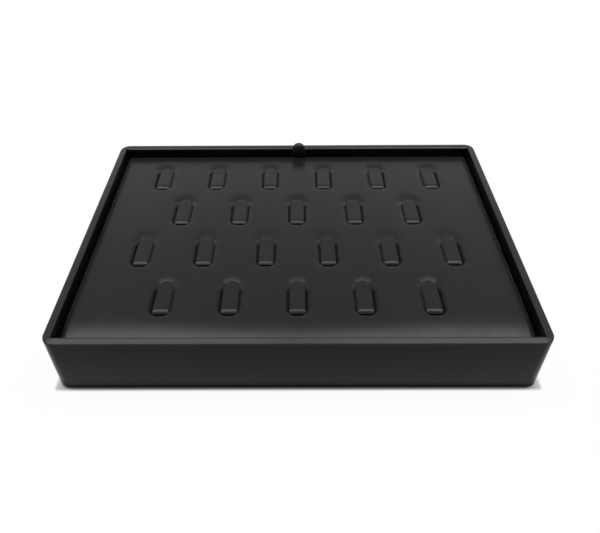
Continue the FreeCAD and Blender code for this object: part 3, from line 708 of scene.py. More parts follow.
def wrap_profile(tray, facing, rearward):
    """Closed section of the wrap: (in from the outer face, towards the hem or the well, height).
    facing is how far each station faces the rear, from -1 to 1; rearward is its place from 0 to 1."""
    bottom, floor = WRAP_LOW.z, BASE_TOP.z
    to_front, to_rear = np.maximum(-facing, 0), np.maximum(facing, 0)
    slope = math.tan(tray.front_lean) * to_front - math.tan(tray.rear_lean) * to_rear
    inner_round = (tray.inner_round + (tray.rear_inner_round - tray.inner_round) * to_rear
                   + (tray.front_inner_round - tray.inner_round) * to_front)
    bevel = tray.rear_bevel_slope * to_rear
    bevel_width = tray.rear_bevel * to_rear
    plateau = RIM - tray.outer_round - inner_round * (1 - np.sin(bevel)) - bevel_width
    turns = quarter_turn(CROWN_STEPS)

    def level(inward):
        """Height of the leaning rim at a place across it."""
        return WRAP_HIGH.z - tray.rim_crown + tray.rear_rise * rearward + slope * (inward - RIM / 2)

    section = [(tray.hem_width, "hem", bottom)]
    for turn in turns:
        inward = tray.foot_round * (1 - math.sin(turn))
        section.append((inward, "hem", bottom + tray.foot_round * (1 - math.cos(turn))))
    for turn in turns:
        inward = tray.outer_round * (1 - math.cos(turn))
        section.append((inward, "well", level(inward) - tray.outer_round * (1 - math.sin(turn))))
    for share in shares_of(CROWN_STEPS):
        inward = tray.outer_round + plateau * share
        section.append((inward, "well", level(inward) + tray.rim_crown * (1 - (2 * share - 1) ** 2)))
    for share in np.linspace(0, 1, CROWN_STEPS + 1):
        turn = bevel + (math.pi / 2 - bevel) * share
        inward = RIM - inner_round * (1 - np.sin(turn))
        drop = np.tan(bevel) * bevel_width + inner_round * (np.cos(bevel) - np.cos(turn))
        section.append((inward, "well", level(inward) - drop))
    inside = WRAP_HIGH.z - 2 * SKIN
    section += [
        (RIM, "well", floor), (RIM - SKIN, "well", floor),
        (RIM - SKIN, "well", inside), (SKIN, "well", inside), (SKIN, "hem", bottom + SKIN),
        (tray.hem_width, "hem", bottom + SKIN),
    ]
    return section


def run_of(loop):
    """Distances along a closed loop, from its first point round to that point again."""
    steps = np.linalg.norm(np.roll(loop, -1, axis=0) - loop, axis=1)
    return np.concatenate([[0], np.cumsum(steps)])


def lay_wrap_grain(mesh, along, across):
    """Grain map in metres for a closed grid: along gives the rows' places, across the columns' places."""
    rows, columns = len(along) - 1, len(across) - 1
    layer = mesh.uv_layers.new(name=GRAIN)
    for face in mesh.polygons:
        places = [divmod(mesh.loops[k].vertex_index, columns) for k in face.loop_indices]
        wraps_row = max(p[0] for p in places) - min(p[0] for p in places) > 1
        wraps_column = max(p[1] for p in places) - min(p[1] for p in places) > 1
        for loop, (row, column) in zip(face.loop_indices, places):
            row = rows if wraps_row and row == 0 else row
            column = columns if wraps_column and column == 0 else column
            layer.data[loop].uv = (along[row], across[column])


class RINGTRAY_OT_tray_wrap(bpy.types.Operator):
    """Leatherette skin over the walls and the crowned rim, hemmed under the base"""
    bl_idname = "ringtray.tray_wrap"
    bl_label = "Tray Wrap"

    def execute(self, context):
        tray = context.scene.ring_tray_tray
        outer, well, hem = wrap_stations(tray).transpose(1, 0, 2)
        ahead = np.roll(outer, -1, axis=0) - np.roll(outer, 1, axis=0)
        facing = -ahead[:, 0] / np.linalg.norm(ahead, axis=1)
        rearward = (outer[:, 1] - WRAP_LOW.y) / (WRAP_HIGH.y - WRAP_LOW.y)
        columns = []
        for inward, towards, height in wrap_profile(tray, facing, rearward):
            goal, width = (hem, tray.hem_width) if towards == "hem" else (well, RIM)
            share = np.broadcast_to(inward / width, len(outer))[:, None]
            heights = np.broadcast_to(height, len(outer))
            columns.append(np.column_stack([outer + (goal - outer) * share, heights]))
        points = np.stack(columns, axis=1)
        rows, count = points.shape[:2]
        along, across = run_of(outer), run_of(points[0])
        thing = make_object("tray_wrap", points.reshape(-1, 3), grid_faces(rows, count, True, True),
                            finish_of("leatherette"), WRAP_EDGE,
                            lambda mesh: lay_wrap_grain(mesh, along, across))
        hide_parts("outer_wrap")
        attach(thing, "tray")
        return {"FINISHED"}


class RINGTRAY_OT_tray_core(bpy.types.Operator):
    """Finishes of the boards, ledges and floor lining inside the wrap"""
    bl_idname = "ringtray.tray_core"
    bl_label = "Tray Core"

    def execute(self, context):
        dress("base_panel", "front_wall", "rear_wall", "left_wall", "right_wall", "pad_ledges",
              "floor_lining")
        return {"FINISHED"}


class RINGTRAY_OT_bottom_felt(bpy.types.Operator):
    """Felt sheet that the tray stands on"""
    bl_idname = "ringtray.bottom_felt"
    bl_label = "Bottom Felt"

    def execute(self, context):
        half_x, half_y = FELT_HIGH.x, FELT_HIGH.y
        thickness = FELT_HIGH.z - FELT_LOW.z
        nap = thickness * FELT_NAP_SHARE

        def outline(inset):
            """Loop of the felt set in by a distance."""
            x, y = half_x - inset, half_y - inset
            corners = [(0, y), (x, y), (x, -y), (0, -y)]
            ways = [line(first, last, shares_of(FELT_STEPS)) for first, last in zip(corners, corners[1:])]
            return mirrored_loop(np.concatenate([corners[:1], *ways]))

        insets = [nap * share for share in FELT_RINGS]
        points, faces = plate(outline, insets, lambda plan, inset: FELT_HIGH.z - fall(inset, nap),
                              insets, lambda plan, inset: FELT_LOW.z + fall(inset, nap))
        thing = make_object("felt_sheet", points, faces, finish_of("felt"), FELT_EDGE)
        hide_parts("bottom_felt")
        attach(thing, "tray")
        return {"FINISHED"}


# Pad
def edge_lines(half, cells_end, pad, inset):
    """Grid lines from the outermost cell to the pad's edge, finer over the rounding."""
    corner = pad.corner_radius - inset
    rounding = pad.edge_round - inset
    plain = np.linspace(cells_end, half - corner, EDGE_STEPS + 1)[1:]
    return np.concatenate([plain, half - rounding * (1 - np.sin(quarter_turn(ROUND_STEPS)))])


class PadLayout:
    """Plan of the pad's top: a grid with a cell at each clip. inset shrinks it for the layer below;
    cell_rings and lip_steps say how finely the pad is meshed round a window."""

    def __init__(self, pad, clip, inset, steps, cell_rings, lip_steps):
        self.pad, self.clip, self.inset, self.steps = pad, clip, inset, steps
        self.cell_rings, self.lip_steps = cell_rings, lip_steps
        self.half_x, self.half_y = COVER_HIGH.x - inset, COVER_HIGH.y - inset
        self.corner = pad.corner_radius - inset
        cell_rear = (ROW_PITCH - clip.length - pad.front_gap) / 2
        reach_x = max(place.x for body, place in CLIP_ARCHES) + CLIP_PITCH / 2
        rear = REAR_ROW + cell_rear
        rows = round((REAR_ROW - FRONT_ROW) / ROW_PITCH) + 1
        front = rear - rows * ROW_PITCH
        columns = round(2 * reach_x / (CLIP_PITCH / 2))
        right = edge_lines(self.half_x, reach_x, pad, inset)
        across = np.linspace(-reach_x, reach_x, columns * steps + 1)
        self.lines_x = np.concatenate([-right[::-1], across, right])
        behind = edge_lines(self.half_y, rear, pad, inset)
        before = edge_lines(self.half_y, -front, pad, inset)
        along = np.linspace(front, rear, 2 * rows * steps + 1)
        self.lines_y = np.concatenate([-before[::-1], along, behind])
        self.cells = []
        for body, place in CLIP_ARCHES:
            i = int(np.argmin(abs(self.lines_x - (place.x - CLIP_PITCH / 2))))
            j = int(np.argmin(abs(self.lines_y - (place.y + cell_rear - ROW_PITCH))))
            self.cells.append((place, i, j))

    def warp(self, x, y):
        """Turns the square corners of the grid into round ones."""
        over_x = np.maximum(abs(x) - (self.half_x - self.corner), 0)
        over_y = np.maximum(abs(y) - (self.half_y - self.corner), 0)
        both = (over_x > 0) & (over_y > 0)
        shrink = np.maximum(over_x, over_y) / np.where(both, np.hypot(over_x, over_y), 1)
        new_x = np.where(both, np.sign(x) * (self.half_x - self.corner + over_x * shrink), x)
        new_y = np.where(both, np.sign(y) * (self.half_y - self.corner + over_y * shrink), y)
        return new_x, new_y

    def edge_distance(self, x, y):
        """How far a place is in from the pad's edge."""
        over_x = abs(x) - (self.half_x - self.corner)
        over_y = abs(y) - (self.half_y - self.corner)
        outside = np.hypot(np.maximum(over_x, 0), np.maximum(over_y, 0))
        return self.corner - np.where((over_x > 0) & (over_y > 0), outside, np.maximum(over_x, over_y))

    def height(self, x, y):
        """Level of the pad's top: crowned, rolled off at the edges and drawn down at each arch."""
        pad, clip = self.pad, self.clip
        edge = np.maximum(self.edge_distance(x, y), 0)
        drop = fall(edge, pad.edge_round - self.inset)
        broader = 1 + pad.front_broader * np.clip(abs(x) / (COVER_HIGH.x * FRONT_BROAD_SHARE), 0, 1) ** 2
        ways = ((pad.front_roll, COVER_HIGH.y + y, broader), (pad.rear_roll, COVER_HIGH.y - y, 1),
                (pad.side_roll, COVER_HIGH.x - abs(x), 1))
        for (width, lowered), away, scale in ways:
            drop += scale * lowered * np.clip(1 - away / (scale * width), 0, 1) ** 2
        swell = pad.swell[1] * smooth_step(edge / pad.swell[0])
        depth = COVER_HIGH.z + swell - HINGE_LEVEL - pad.arch_proud - pad.arch_lip
        dimple = np.zeros_like(drop)
        for body, place in CLIP_ARCHES:
            aside = abs(x - place.x)
            arched = ARCH * (1 - DIMPLE_BOW * (aside / ARCH) ** 2)
            behind = y - (place.y - ARCH) - arched
            before = place.y - clip.length - y
            away = np.maximum(np.maximum(behind, before), -pad.dimple_over)
            near = np.maximum(1 - away / pad.dimple_reach, 0) ** 2
            near *= np.clip(1 - np.maximum(aside - ARCH, 0) / pad.dimple_side_reach, 0, 1) ** 2
            faded = smooth_step((place.y - y) / pad.dimple_run)
            weight = 1 - (1 - pad.dimple_side) * faded
            dimple = np.maximum(dimple, depth * near * weight)
        return COVER_HIGH.z + swell - self.inset - drop - dimple


def cover_painted_shade(pad, clip, x, y):
    """Painted shade on the cover at a place, from 0 on the open pad to 1 at a slit's edge."""
    pressed = np.zeros_like(x)
    for body, place in CLIP_ARCHES:
        aside = np.maximum(abs(x - place.x) - ARCH - pad.side_gap + pad.window_corner, 0)
        before = np.maximum(place.y - clip.length - pad.front_gap + pad.window_corner - y, 0)
        opened = smooth_step((place.y - ARCH * OPENING_START - y) / pad.painted_shade_run)
        away = np.hypot(aside, before) - pad.window_corner - pad.lip * PAINTED_SHADE_CORE
        painted_shade_reach = pad.painted_shade_reach + (pad.rear_painted_shade_reach - pad.painted_shade_reach) * (place.y - FRONT_ROW) / (REAR_ROW - FRONT_ROW)
        pressed = np.maximum(pressed, opened * np.clip(1 - away / painted_shade_reach, 0, 1) ** PAINTED_SHADE_FADE)
    return pressed


def window_outline(pad, clip, inset, steps):
    """Loop round a clip's window from its arch, with how far open it is at each point, in clip axes."""
    side = ARCH + pad.side_gap + inset
    front = clip.length + pad.front_gap + inset
    corner = pad.window_corner + inset
    # Each half has 4 * steps points, as many as half of a cell's edge, so steps is a multiple of 3
    third = steps // 3

    def opening(y):
        """How far the slit is open at a place along the clip, and the slit's edge from the middle there."""
        opened = float(smooth_step((-ARCH * OPENING_START - y) / pad.opening_run))
        return opened, ARCH + inset + pad.arch_gap + (pad.side_gap - pad.arch_gap) * opened

    half = []
    for turn in np.linspace(math.pi / 2, 0, steps + third + 1)[:-1]:
        opened, reach = opening(ARCH * (math.sin(turn) - 1))
        half.append((reach * math.cos(turn), reach * math.sin(turn) - ARCH, opened))
    for y in np.linspace(-ARCH, corner - front, 4 * third + 1)[:-1]:
        opened, reach = opening(y)
        half.append((reach, y, opened))
    for turn in np.linspace(0, math.pi / 2, 2 * third + 1)[:-1]:
        half.append((side - corner + corner * math.cos(turn), corner - front - corner * math.sin(turn), 1))
    for x in np.linspace(side - corner, 0, 2 * third + 1):
        half.append((x, -front, 1))
    half = np.array(half)
    loop = mirrored_loop(half[:, :2])
    opened = np.concatenate([half[:, 2], half[-2:0:-1, 2]])
    along = np.roll(loop, -1, axis=0) - np.roll(loop, 1, axis=0)
    outward = np.column_stack([-along[:, 1], along[:, 0]]) / np.linalg.norm(along, axis=1)[:, None]
    return loop, outward, opened


def cell_loop(layout, i, j):
    """Numbers of the grid points round a clip's cell, from the middle of its rear side by the right."""
    middle, whole = layout.steps, 2 * layout.steps
    plan = [(i + k, j + whole) for k in range(middle, whole)]
    plan += [(i + whole, j + whole - k) for k in range(whole)]
    plan += [(i + whole - k, j) for k in range(whole)]
    plan += [(i, j + k) for k in range(whole)]
    plan += [(i + k, j + whole) for k in range(middle)]
    return [row * len(layout.lines_x) + column for column, row in plan]


def window_rings(layout, outline, start, centre):
    """Rings of points from a cell's edge to the lip of a clip's window, and over it to the window's floor."""
    pad = layout.pad
    loop, outward, opened = outline
    lip = pad.arch_lip + (pad.lip - pad.arch_lip) * opened
    lip_fall = pad.arch_lip + (pad.lip_fall - pad.arch_lip) * opened
    goal = loop + outward * lip[:, None] + centre
    rings = []
    for share in shares_of(layout.cell_rings):
        plan = start + (goal - start) * (1 - (1 - share) ** RING_CROWDING)
        rings.append(np.column_stack([plan, layout.height(*plan.T)]))
    for share in shares_of(layout.lip_steps):
        plan = loop + outward * (lip * (1 - share))[:, None] + centre
        sunk = lip_fall * eased_slope(share, LIP_BLEND) / eased_slope(1, LIP_BLEND)
        rings.append(np.column_stack([plan, layout.height(*plan.T) - sunk]))
    floor = COVER_HIGH.z - layout.inset - pad.window_depth
    rings.append(np.column_stack([loop + centre, np.full(len(loop), floor)]))
    return rings


def pad_top(layout):
    """Points and faces of the pad's top with its pressed windows, and the loop round its edge."""
    columns, rows = len(layout.lines_x), len(layout.lines_y)
    x, y = layout.warp(*[axis.ravel() for axis in np.meshgrid(layout.lines_x, layout.lines_y)])
    points = [np.column_stack([x, y, layout.height(x, y)])]
    taken = set()
    for place, i, j in layout.cells:
        taken.update((i + a, j + b) for a in range(2 * layout.steps) for b in range(2 * layout.steps))
    faces = []
    for row in range(rows - 1):
        for column in range(columns - 1):
            if (column, row) not in taken:
                k = row * columns + column
                faces.append((k, k + 1, k + columns + 1, k + columns))
    outline = window_outline(layout.pad, layout.clip, layout.inset, layout.steps)
    count = len(outline[0])
    total = columns * rows
    for place, i, j in layout.cells:
        rim = cell_loop(layout, i, j)
        rings = window_rings(layout, outline, points[0][rim, :2], np.array([place.x, place.y]))
        points.append(np.concatenate(rings))
        faces += bridge(rim, range(total, total + count))
        quads = grid_faces(len(rings), count, close_columns=True)
        faces += [tuple(total + k for k in quad) for quad in quads]
        faces += across_faces(total + (len(rings) - 1) * count, count)
        total += len(rings) * count
    edge = list(range(columns))
    edge += [k * columns + columns - 1 for k in range(1, rows)]
    edge += [(rows - 1) * columns + k for k in range(columns - 2, -1, -1)]
    edge += [k * columns for k in range(rows - 2, 0, -1)]
    return np.concatenate(points), faces, edge


def add_rings(points, faces, edge, rings):
    """Carries a sheet on from its edge through more rings of points."""
    for ring in rings:
        onward = range(len(points), len(points) + len(ring))
        points = np.concatenate([points, ring])
        faces += bridge(edge, onward)
        edge = onward
    return points, faces, edge


def cover_layer(layout):
    """One layer of the cover, from the pad's top over its sides to the hem's edge under the board."""
    pad, inset = layout.pad, layout.inset
    points, faces, edge = pad_top(layout)
    brow = points[edge]
    bottom, rounding = COVER_LOW.z + inset, pad.hem_round - inset
    rings = []
    for turn in quarter_turn(HEM_STEPS):
        ring = brow.copy()
        for axis, half in enumerate((COVER_HIGH.x, COVER_HIGH.y)):
            turned = abs(brow[:, axis]) >= half - pad.corner_radius
            ring[:, axis] -= np.sign(brow[:, axis]) * rounding * (1 - math.cos(turn)) * turned
        ring[:, 2] = bottom + rounding * (1 - math.sin(turn))
        rings.append(ring)
    hem = brow.copy()
    for axis, half in enumerate((COVER_HIGH.x, COVER_HIGH.y)):
        hem[:, axis] = np.clip(brow[:, axis], pad.hem_width - half, half - pad.hem_width)
    hem[:, 2] = bottom
    return add_rings(points, faces, edge, rings + [hem])


class RINGTRAY_OT_pad_cover(bpy.types.Operator):
    """Leatherette over the pad, pressed in at each clip and hemmed under the board"""
    bl_idname = "ringtray.pad_cover"
    bl_label = "Pad Cover"

    def execute(self, context):
        pad, clip = context.scene.ring_tray_pad, context.scene.ring_tray_clip
        outside = PadLayout(pad, clip, 0, COVER_STEPS, COVER_RINGS, COVER_LIP_STEPS)
        points, faces, edge = cover_layer(outside)
        lining = PadLayout(pad, clip, pad.cover_thickness, COVER_STEPS, HIDDEN_RINGS, HIDDEN_LIP_STEPS)
        inner, inner_faces, inner_edge = cover_layer(lining)
        total = len(points)
        faces += [tuple(total + k for k in reversed(face)) for face in inner_faces]
        faces += bridge(edge, [total + k for k in inner_edge])
        thing = make_object("pad_cover_sheet", np.concatenate([points, inner]), faces,
                            finish_of("pad_leatherette"), SOFT_EDGE)
        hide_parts("pad_cover")
        lay_flat_grain(thing)
        # Marks the painted shade round the slits
        mark_painted_shade(thing, lambda x, y, z: cover_painted_shade(pad, clip, x, y))
        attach(thing, "pad")
        return {"FINISHED"}


class RINGTRAY_OT_pad_filling(bpy.types.Operator):
    """Foam sheet under the cover, with the board, card and strip tails below it"""
    bl_idname = "ringtray.pad_filling"
    bl_label = "Pad Filling"

    def execute(self, context):
        pad, clip = context.scene.ring_tray_pad, context.scene.ring_tray_clip
        layout = PadLayout(pad, clip, SKIN, FOAM_STEPS, HIDDEN_RINGS, HIDDEN_LIP_STEPS)
        points, faces, edge = pad_top(layout)
        base = points[edge].copy()
        base[:, 2] = FOAM_FLOOR
        points, faces, edge = add_rings(points, faces, edge, [base])
        faces.append(tuple(edge))
        thing = make_object("foam_sheet", points, faces, finish_of("foam"), SOFT_EDGE)
        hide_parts("pad_foam")
        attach(thing, "pad")
        dress("pad_board", "pad_backing", "clip_tails")
        return {"FINISHED"}


# Clips
def tongue_outline(clip, inset):
    """Loop of a tongue set in by a distance: round at the arch, square at the front."""
    turns = quarter_turn(TONGUE_ARCH_STEPS)[::-1]
    radius = ARCH - inset
    arch = np.column_stack([radius * np.cos(turns), -ARCH + radius * np.sin(turns)])
    front = inset - clip.length
    corner = clip.front_corner * (1 - inset / ARCH)
    shares = 1 - (1 - shares_of(TONGUE_SIDE_STEPS)) ** SIDE_CROWDING
    side = line((radius, -ARCH), (radius, front + corner), shares)
    turns = quarter_turn(TONGUE_CORNER_STEPS)[1:]
    bend = np.column_stack([radius - corner * (1 - np.cos(turns)), front + corner * (1 - np.sin(turns))])
    end = line((radius - corner, front), (0, front), shares_of(TONGUE_FRONT_STEPS))
    return mirrored_loop(np.concatenate([arch, side, bend, end]))


def parted(y):
    """How far a tongue has parted from the pad at a place along it: 0 at its arch and 1 further on."""
    return smooth_step((-ARCH / 2 - y) / ARCH)


def tongue_mesh(clip):
    """Points and faces of a tongue; its origin is the rear of its arch, and its top is level."""
    inner = ARCH * TONGUE_SPINE_SHARE
    upper = edge_insets(clip.edge_round) + list(line(clip.edge_round, inner, shares_of(TONGUE_TOP_STEPS)))
    lower = edge_insets(clip.lower_round) + [inner / 2, inner]

    def top(plan, inset):
        """Crowned top with its round edges and the slope of its nose."""
        ahead = clip.length + plan[:, 1]
        crown = clip.crown * (1 - (1 - inset / ARCH) ** 2)
        opened = parted(plan[:, 1])
        edge = clip.arch_round + (clip.edge_round - clip.arch_round) * opened
        sloped = np.clip(clip.nose_length - ahead, 0, clip.nose_length)
        nose = math.tan(clip.nose_slope) * eased_slope(sloped, clip.nose_blend)
        return crown - clip.crown * opened - fall(inset, edge) - nose

    def under(plan, inset):
        """Underside, which lies deeper towards the front end."""
        share = -plan[:, 1] / clip.length
        thickness = clip.rear_thickness + (clip.front_thickness - clip.rear_thickness) * share
        return fall(inset, clip.lower_round) - thickness

    return plate(lambda inset: tongue_outline(clip, inset), upper, top, lower, under)


def tongue_painted_shade(clip, x, y, z):
    """Painted shade on a tongue where it turns down into its slit: from 0 on its top to 1 on its sides and front
    end.
    """
    opened = parted(y)
    side = opened * np.clip(1 - (ARCH - abs(x)) / clip.painted_shade_reach, 0, 1) ** 2
    nose = math.tan(clip.nose_slope) * eased_slope(clip.nose_length, clip.nose_blend)
    below = smooth_step((-z - nose) / clip.edge_round)
    return np.maximum(side, below * opened)


class RINGTRAY_OT_clips(bpy.types.Operator):
    """Sprung leatherette tongues that hold the rings"""
    bl_idname = "ringtray.clips"
    bl_label = "Ring Clips"

    def execute(self, context):
        clip = context.scene.ring_tray_clip
        points, faces = tongue_mesh(clip)
        lift = Matrix.Rotation(-math.asin(clip.rise / clip.length), 4, "X")
        for body, place in CLIP_ARCHES:
            tag = body.removeprefix("clip_")
            thing = make_object(f"clip_tongue_{tag}", points, faces, finish_of("pad_leatherette"), SOFT_EDGE)
            lay_flat_grain(thing)
            # Marks the painted shade on the tongue's sides and front end
            mark_painted_shade(thing, lambda x, y, z: tongue_painted_shade(clip, x, y, z))
            thing.matrix_world = Matrix.Translation(place) @ lift
            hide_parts(f"clip_cover_{tag}")
            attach(thing, body)
            dress(f"clip_spring_{tag}")
        return {"FINISHED"}


# Pull tab
def tab_mesh(tab, thickness):
    """Points and faces of the tab and its tail: a flat strip of two plies, bent up and curled back."""
    half = (TAB_HIGH.x - TAB_LOW.x) / 2
    rise = half * TAB_HEAD_SHARE
    foot = TAIL_HIGH.y - TAIL_LOW.y - tab.bend_radius
    bend = tab.bend_radius * math.pi / 2
    total = foot + bend + TAB_HIGH.z - tab.trim - TAIL_LOW.z - tab.bend_radius

    def outline(inset):
        """Loop of the flat strip set in by a distance."""
        turns = quarter_turn(TAB_ROUND_STEPS)[::-1]
        radius = half - inset
        head = np.column_stack([radius * np.cos(turns), total - rise + (rise - inset) * np.sin(turns)])
        side = line((radius, total - rise), (radius, inset), shares_of(TAB_SIDE_STEPS))
        end = line((radius, inset), (0, inset), shares_of(TAB_FOOT_STEPS))
        return mirrored_loop(np.concatenate([head, side, end]))

    def ply(plan):
        """Thickness of the two plies, which thin out under the board."""
        share = smooth_step((plan[:, 1] - foot) / bend)
        return tab.foot_thickness + (thickness - tab.foot_thickness) * share

    def edge_drop(plan, inset):
        """Drop of a face towards the tab's edge, down to the groove where the two plies meet."""
        if inset == tab.ply_groove:
            return ply(plan) / 2
        return np.minimum(fall(inset, tab.edge_round), ply(plan) * PLY_SHARE)

    insets = [tab.ply_groove, *edge_insets(tab.edge_round), *(rise * share for share in TAB_RINGS)]
    points, faces = plate(outline, insets, lambda plan, inset: ply(plan) - edge_drop(plan, inset),
                          insets, edge_drop)
    across, along, out = points.T
    turn = np.clip((along - foot) / tab.bend_radius, 0, math.pi / 2)
    radius = tab.bend_radius - out
    centre_y, centre_z = TAIL_HIGH.y - tab.bend_radius, TAIL_LOW.z + tab.bend_radius
    y = centre_y + np.minimum(along - foot, 0) + radius * np.sin(turn)
    z = centre_z + np.maximum(along - foot - bend, 0) - radius * np.cos(turn)
    y += tab.lean * np.clip((z - TAB_HIGH.z) / tab.lean_start + 1, 0, 1) ** 2
    curl_height, curl_reach = tab.curl
    y += curl_reach * np.clip((z - z.max()) / curl_height + 1, 0, 1) ** CURL_BEND
    return np.column_stack([across + (TAB_HIGH.x + TAB_LOW.x) / 2, y, z]), faces


class RINGTRAY_OT_pull_tab(bpy.types.Operator):
    """Tab of two plies, with its tail through the pad folded forward under the board"""
    bl_idname = "ringtray.pull_tab"
    bl_label = "Pull Tab"

    def execute(self, context):
        tab = context.scene.ring_tray_tab
        thickness = TAB_HIGH.y - TAB_LOW.y
        points, faces = tab_mesh(tab, thickness)
        thing = make_object("pull_tab_strip", points, faces, finish_of("pad_leatherette"), SOFT_EDGE)
        lay_flat_grain(thing)
        # Marks the painted shade on the tab towards its slot
        mark_painted_shade(thing, lambda x, y, z: smooth_step((TAB_LOW.z + tab.painted_shade_reach - z) / tab.painted_shade_run))
        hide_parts("pull_tab", "pull_tab_tail")
        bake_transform(thing)
        return {"FINISHED"}


# Stage
def add_camera(stage):
    """Camera at the photograph's viewing angle."""
    data = bpy.data.cameras.new("photo_camera")
    data.sensor_fit = "HORIZONTAL"
    data.sensor_width = SENSOR_WIDTH
    data.lens = stage.lens
    data.shift_x, data.shift_y = stage.shift
    camera = bpy.data.objects.new("photo_camera", data)
    pitch, yaw, roll = stage.camera_pitch, stage.camera_yaw, stage.camera_roll
    ahead = Vector((math.sin(yaw) * math.cos(pitch), math.cos(yaw) * math.cos(pitch), -math.sin(pitch)))
    right = Vector((math.cos(yaw), -math.sin(yaw), 0))
    up = right.cross(ahead)
    right, up = right * math.cos(roll) + up * math.sin(roll), up * math.cos(roll) - right * math.sin(roll)
    turned = Matrix((right, up, -ahead)).transposed().to_4x4()
    camera.matrix_world = Matrix.Translation(stage.camera_place) @ turned
    bpy.context.scene.collection.objects.link(camera)
    bpy.context.scene.camera = camera


def add_softbox(name, centre, size, watts, shade, straight_down=False):
    """Rectangular light that faces the tray, or straight down."""
    data = bpy.data.lights.new(name, "AREA")
    data.shape = "RECTANGLE"
    data.size, data.size_y = size
    data.energy = watts
    data.color = shade
    light = bpy.data.objects.new(name, data)
    light.location = centre
    if not straight_down:
        light.rotation_euler = (-Vector(centre)).to_track_quat("-Z", "Y").to_euler()
    bpy.context.scene.collection.objects.link(light)


def seen_by_eye_or_gloss(tree):
    """1 for camera, glossy and transmission rays, 0 for the light that falls on things."""
    path = tree.nodes.new("ShaderNodeLightPath").outputs
    seen = combine(tree, "MAXIMUM", path["Is Camera Ray"], path["Is Glossy Ray"])
    return combine(tree, "MAXIMUM", seen, path["Is Transmission Ray"])


def add_surround(stage):
    """Surround that looks white and lights things softly."""
    world = bpy.data.worlds.new("studio_surround")
    world.use_nodes = True
    tree = world.node_tree
    soft = tree.nodes["Background"]
    feed(tree, soft, {"Color": WHITE, "Strength": stage.ambient})
    white = add_node(tree, "ShaderNodeBackground", {"Color": WHITE, "Strength": 1.0})
    mixed = mix_shaders(tree, seen_by_eye_or_gloss(tree), soft.outputs["Background"],
                        white.outputs["Background"])
    feed(tree, tree.nodes["World Output"], {"Surface": mixed})
    bpy.context.scene.world = world


def floor_finish(stage):
    """Pale paper that keeps the tray's shadow near it, fades to white further out and is clear from below."""
    material, tree, shader = new_material("floor_paper")
    tree.nodes.remove(shader)
    seen = seen_by_eye_or_gloss(tree)
    surface = tree.nodes.new("ShaderNodeNewGeometry").outputs
    place = add_node(tree, "ShaderNodeSeparateXYZ", {"Vector": surface["Position"]}).outputs
    squares = []
    for axis, half in (("X", WRAP_HIGH.x), ("Y", WRAP_HIGH.y)):
        beyond = combine(tree, "SUBTRACT", combine(tree, "ABSOLUTE", place[axis]), half)
        squares.append(combine(tree, "POWER", combine(tree, "MAXIMUM", beyond, 0), 2))
    away = combine(tree, "SQRT", combine(tree, "ADD", *squares))
    near = ramp(tree, away, stage.contact_start, stage.contact_reach, 0, stage.contact_share)
    rest = ramp(tree, away, 0, stage.shadow_reach, 0, 1 - stage.contact_share)
    far = combine(tree, "MULTIPLY", combine(tree, "ADD", near, rest), seen)
    paper = add_node(tree, "ShaderNodeBsdfDiffuse", {"Color": (*stage.floor_colour, 1)})
    lift = combine(tree, "MULTIPLY", seen, stage.floor_lift)
    glow = add_node(tree, "ShaderNodeEmission", {"Strength": lift})
    lifted = add_node(tree, "ShaderNodeAddShader", {0: paper.outputs["BSDF"], 1: glow.outputs["Emission"]})
    white = add_node(tree, "ShaderNodeEmission", {"Strength": 1.0})
    sheet = mix_shaders(tree, far, lifted.outputs["Shader"], white.outputs["Emission"])
    ray_length = tree.nodes.new("ShaderNodeLightPath").outputs["Ray Length"]
    close_by = combine(tree, "LESS_THAN", ray_length, FLOOR_SIGHT)
    clear = combine(tree, "MAXIMUM", surface["Backfacing"], close_by)
    nothing = tree.nodes.new("ShaderNodeBsdfTransparent").outputs["BSDF"]
    feed(tree, tree.nodes["Material Output"], {"Surface": mix_shaders(tree, clear, sheet, nothing)})
    return material


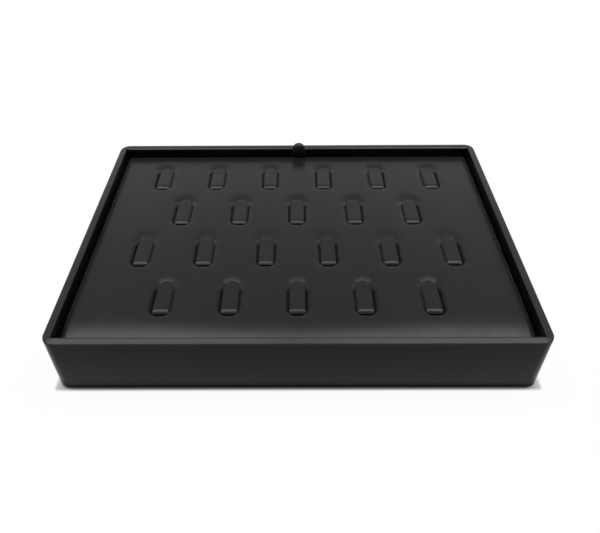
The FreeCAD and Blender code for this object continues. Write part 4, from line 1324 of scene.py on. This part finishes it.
class RINGTRAY_OT_stage(bpy.types.Operator):
    """Paper floor, soft light and the camera at the photograph's viewing angle"""
    bl_idname = "ringtray.stage"
    bl_label = "Stage"

    def execute(self, context):
        stage = context.scene.ring_tray_stage
        half, level = stage.floor_size / 2, -FLOOR_GAP
        corners = [(-half, -half, level), (half, -half, level), (half, half, level), (-half, half, level)]
        mesh = bpy.data.meshes.new("floor")
        mesh.from_pydata(corners, [], [(0, 1, 2, 3)])
        mesh.materials.append(floor_finish(stage))
        floor = bpy.data.objects.new("floor", mesh)
        context.scene.collection.objects.link(floor)
        add_surround(stage)
        x, y, z = stage.top_place
        for name, side in (("left_softbox", -x), ("right_softbox", x)):
            add_softbox(name, (side, y, z), stage.top_size, stage.top_power, stage.top_colour,
                        straight_down=True)
        add_softbox("rear_strip", stage.rear_place, stage.rear_size, stage.rear_power, stage.rear_colour)
        add_camera(stage)
        context.scene.view_settings.view_transform = "Standard"
        return {"FINISHED"}


class RINGTRAY_PT_build(bpy.types.Panel):
    """Lists the build steps of the ring tray"""
    bl_idname = "RINGTRAY_PT_build"
    bl_label = "Ring Tray"
    bl_space_type = "VIEW_3D"
    bl_region_type = "UI"
    bl_category = "Ring Tray"

    def draw(self, context):
        for operator in OPERATORS:
            self.layout.operator(operator.bl_idname)


SETTINGS = {
    "ring_tray_tray": TraySettings,
    "ring_tray_pad": PadSettings,
    "ring_tray_clip": ClipSettings,
    "ring_tray_tab": TabSettings,
    "ring_tray_finish": FinishSettings,
    "ring_tray_stage": StageSettings,
}
OPERATORS = (
    RINGTRAY_OT_stage, RINGTRAY_OT_tray_wrap, RINGTRAY_OT_tray_core, RINGTRAY_OT_bottom_felt,
    RINGTRAY_OT_pad_cover, RINGTRAY_OT_pad_filling, RINGTRAY_OT_clips, RINGTRAY_OT_pull_tab,
)


def register():
    for kind in (*SETTINGS.values(), *OPERATORS, RINGTRAY_PT_build):
        bpy.utils.register_class(kind)
    for name, kind in SETTINGS.items():
        setattr(bpy.types.Scene, name, bpy.props.PointerProperty(type=kind))


def unregister():
    for name in SETTINGS:
        delattr(bpy.types.Scene, name)
    for kind in (RINGTRAY_PT_build, *reversed(OPERATORS), *SETTINGS.values()):
        bpy.utils.unregister_class(kind)


def main():
    register()
    bpy.ops.ringtray.stage()
    bpy.ops.ringtray.tray_wrap()
    bpy.ops.ringtray.tray_core()
    bpy.ops.ringtray.bottom_felt()
    bpy.ops.ringtray.pad_cover()
    bpy.ops.ringtray.pad_filling()
    bpy.ops.ringtray.clips()
    bpy.ops.ringtray.pull_tab()


if __name__ == "__main__":
    main()
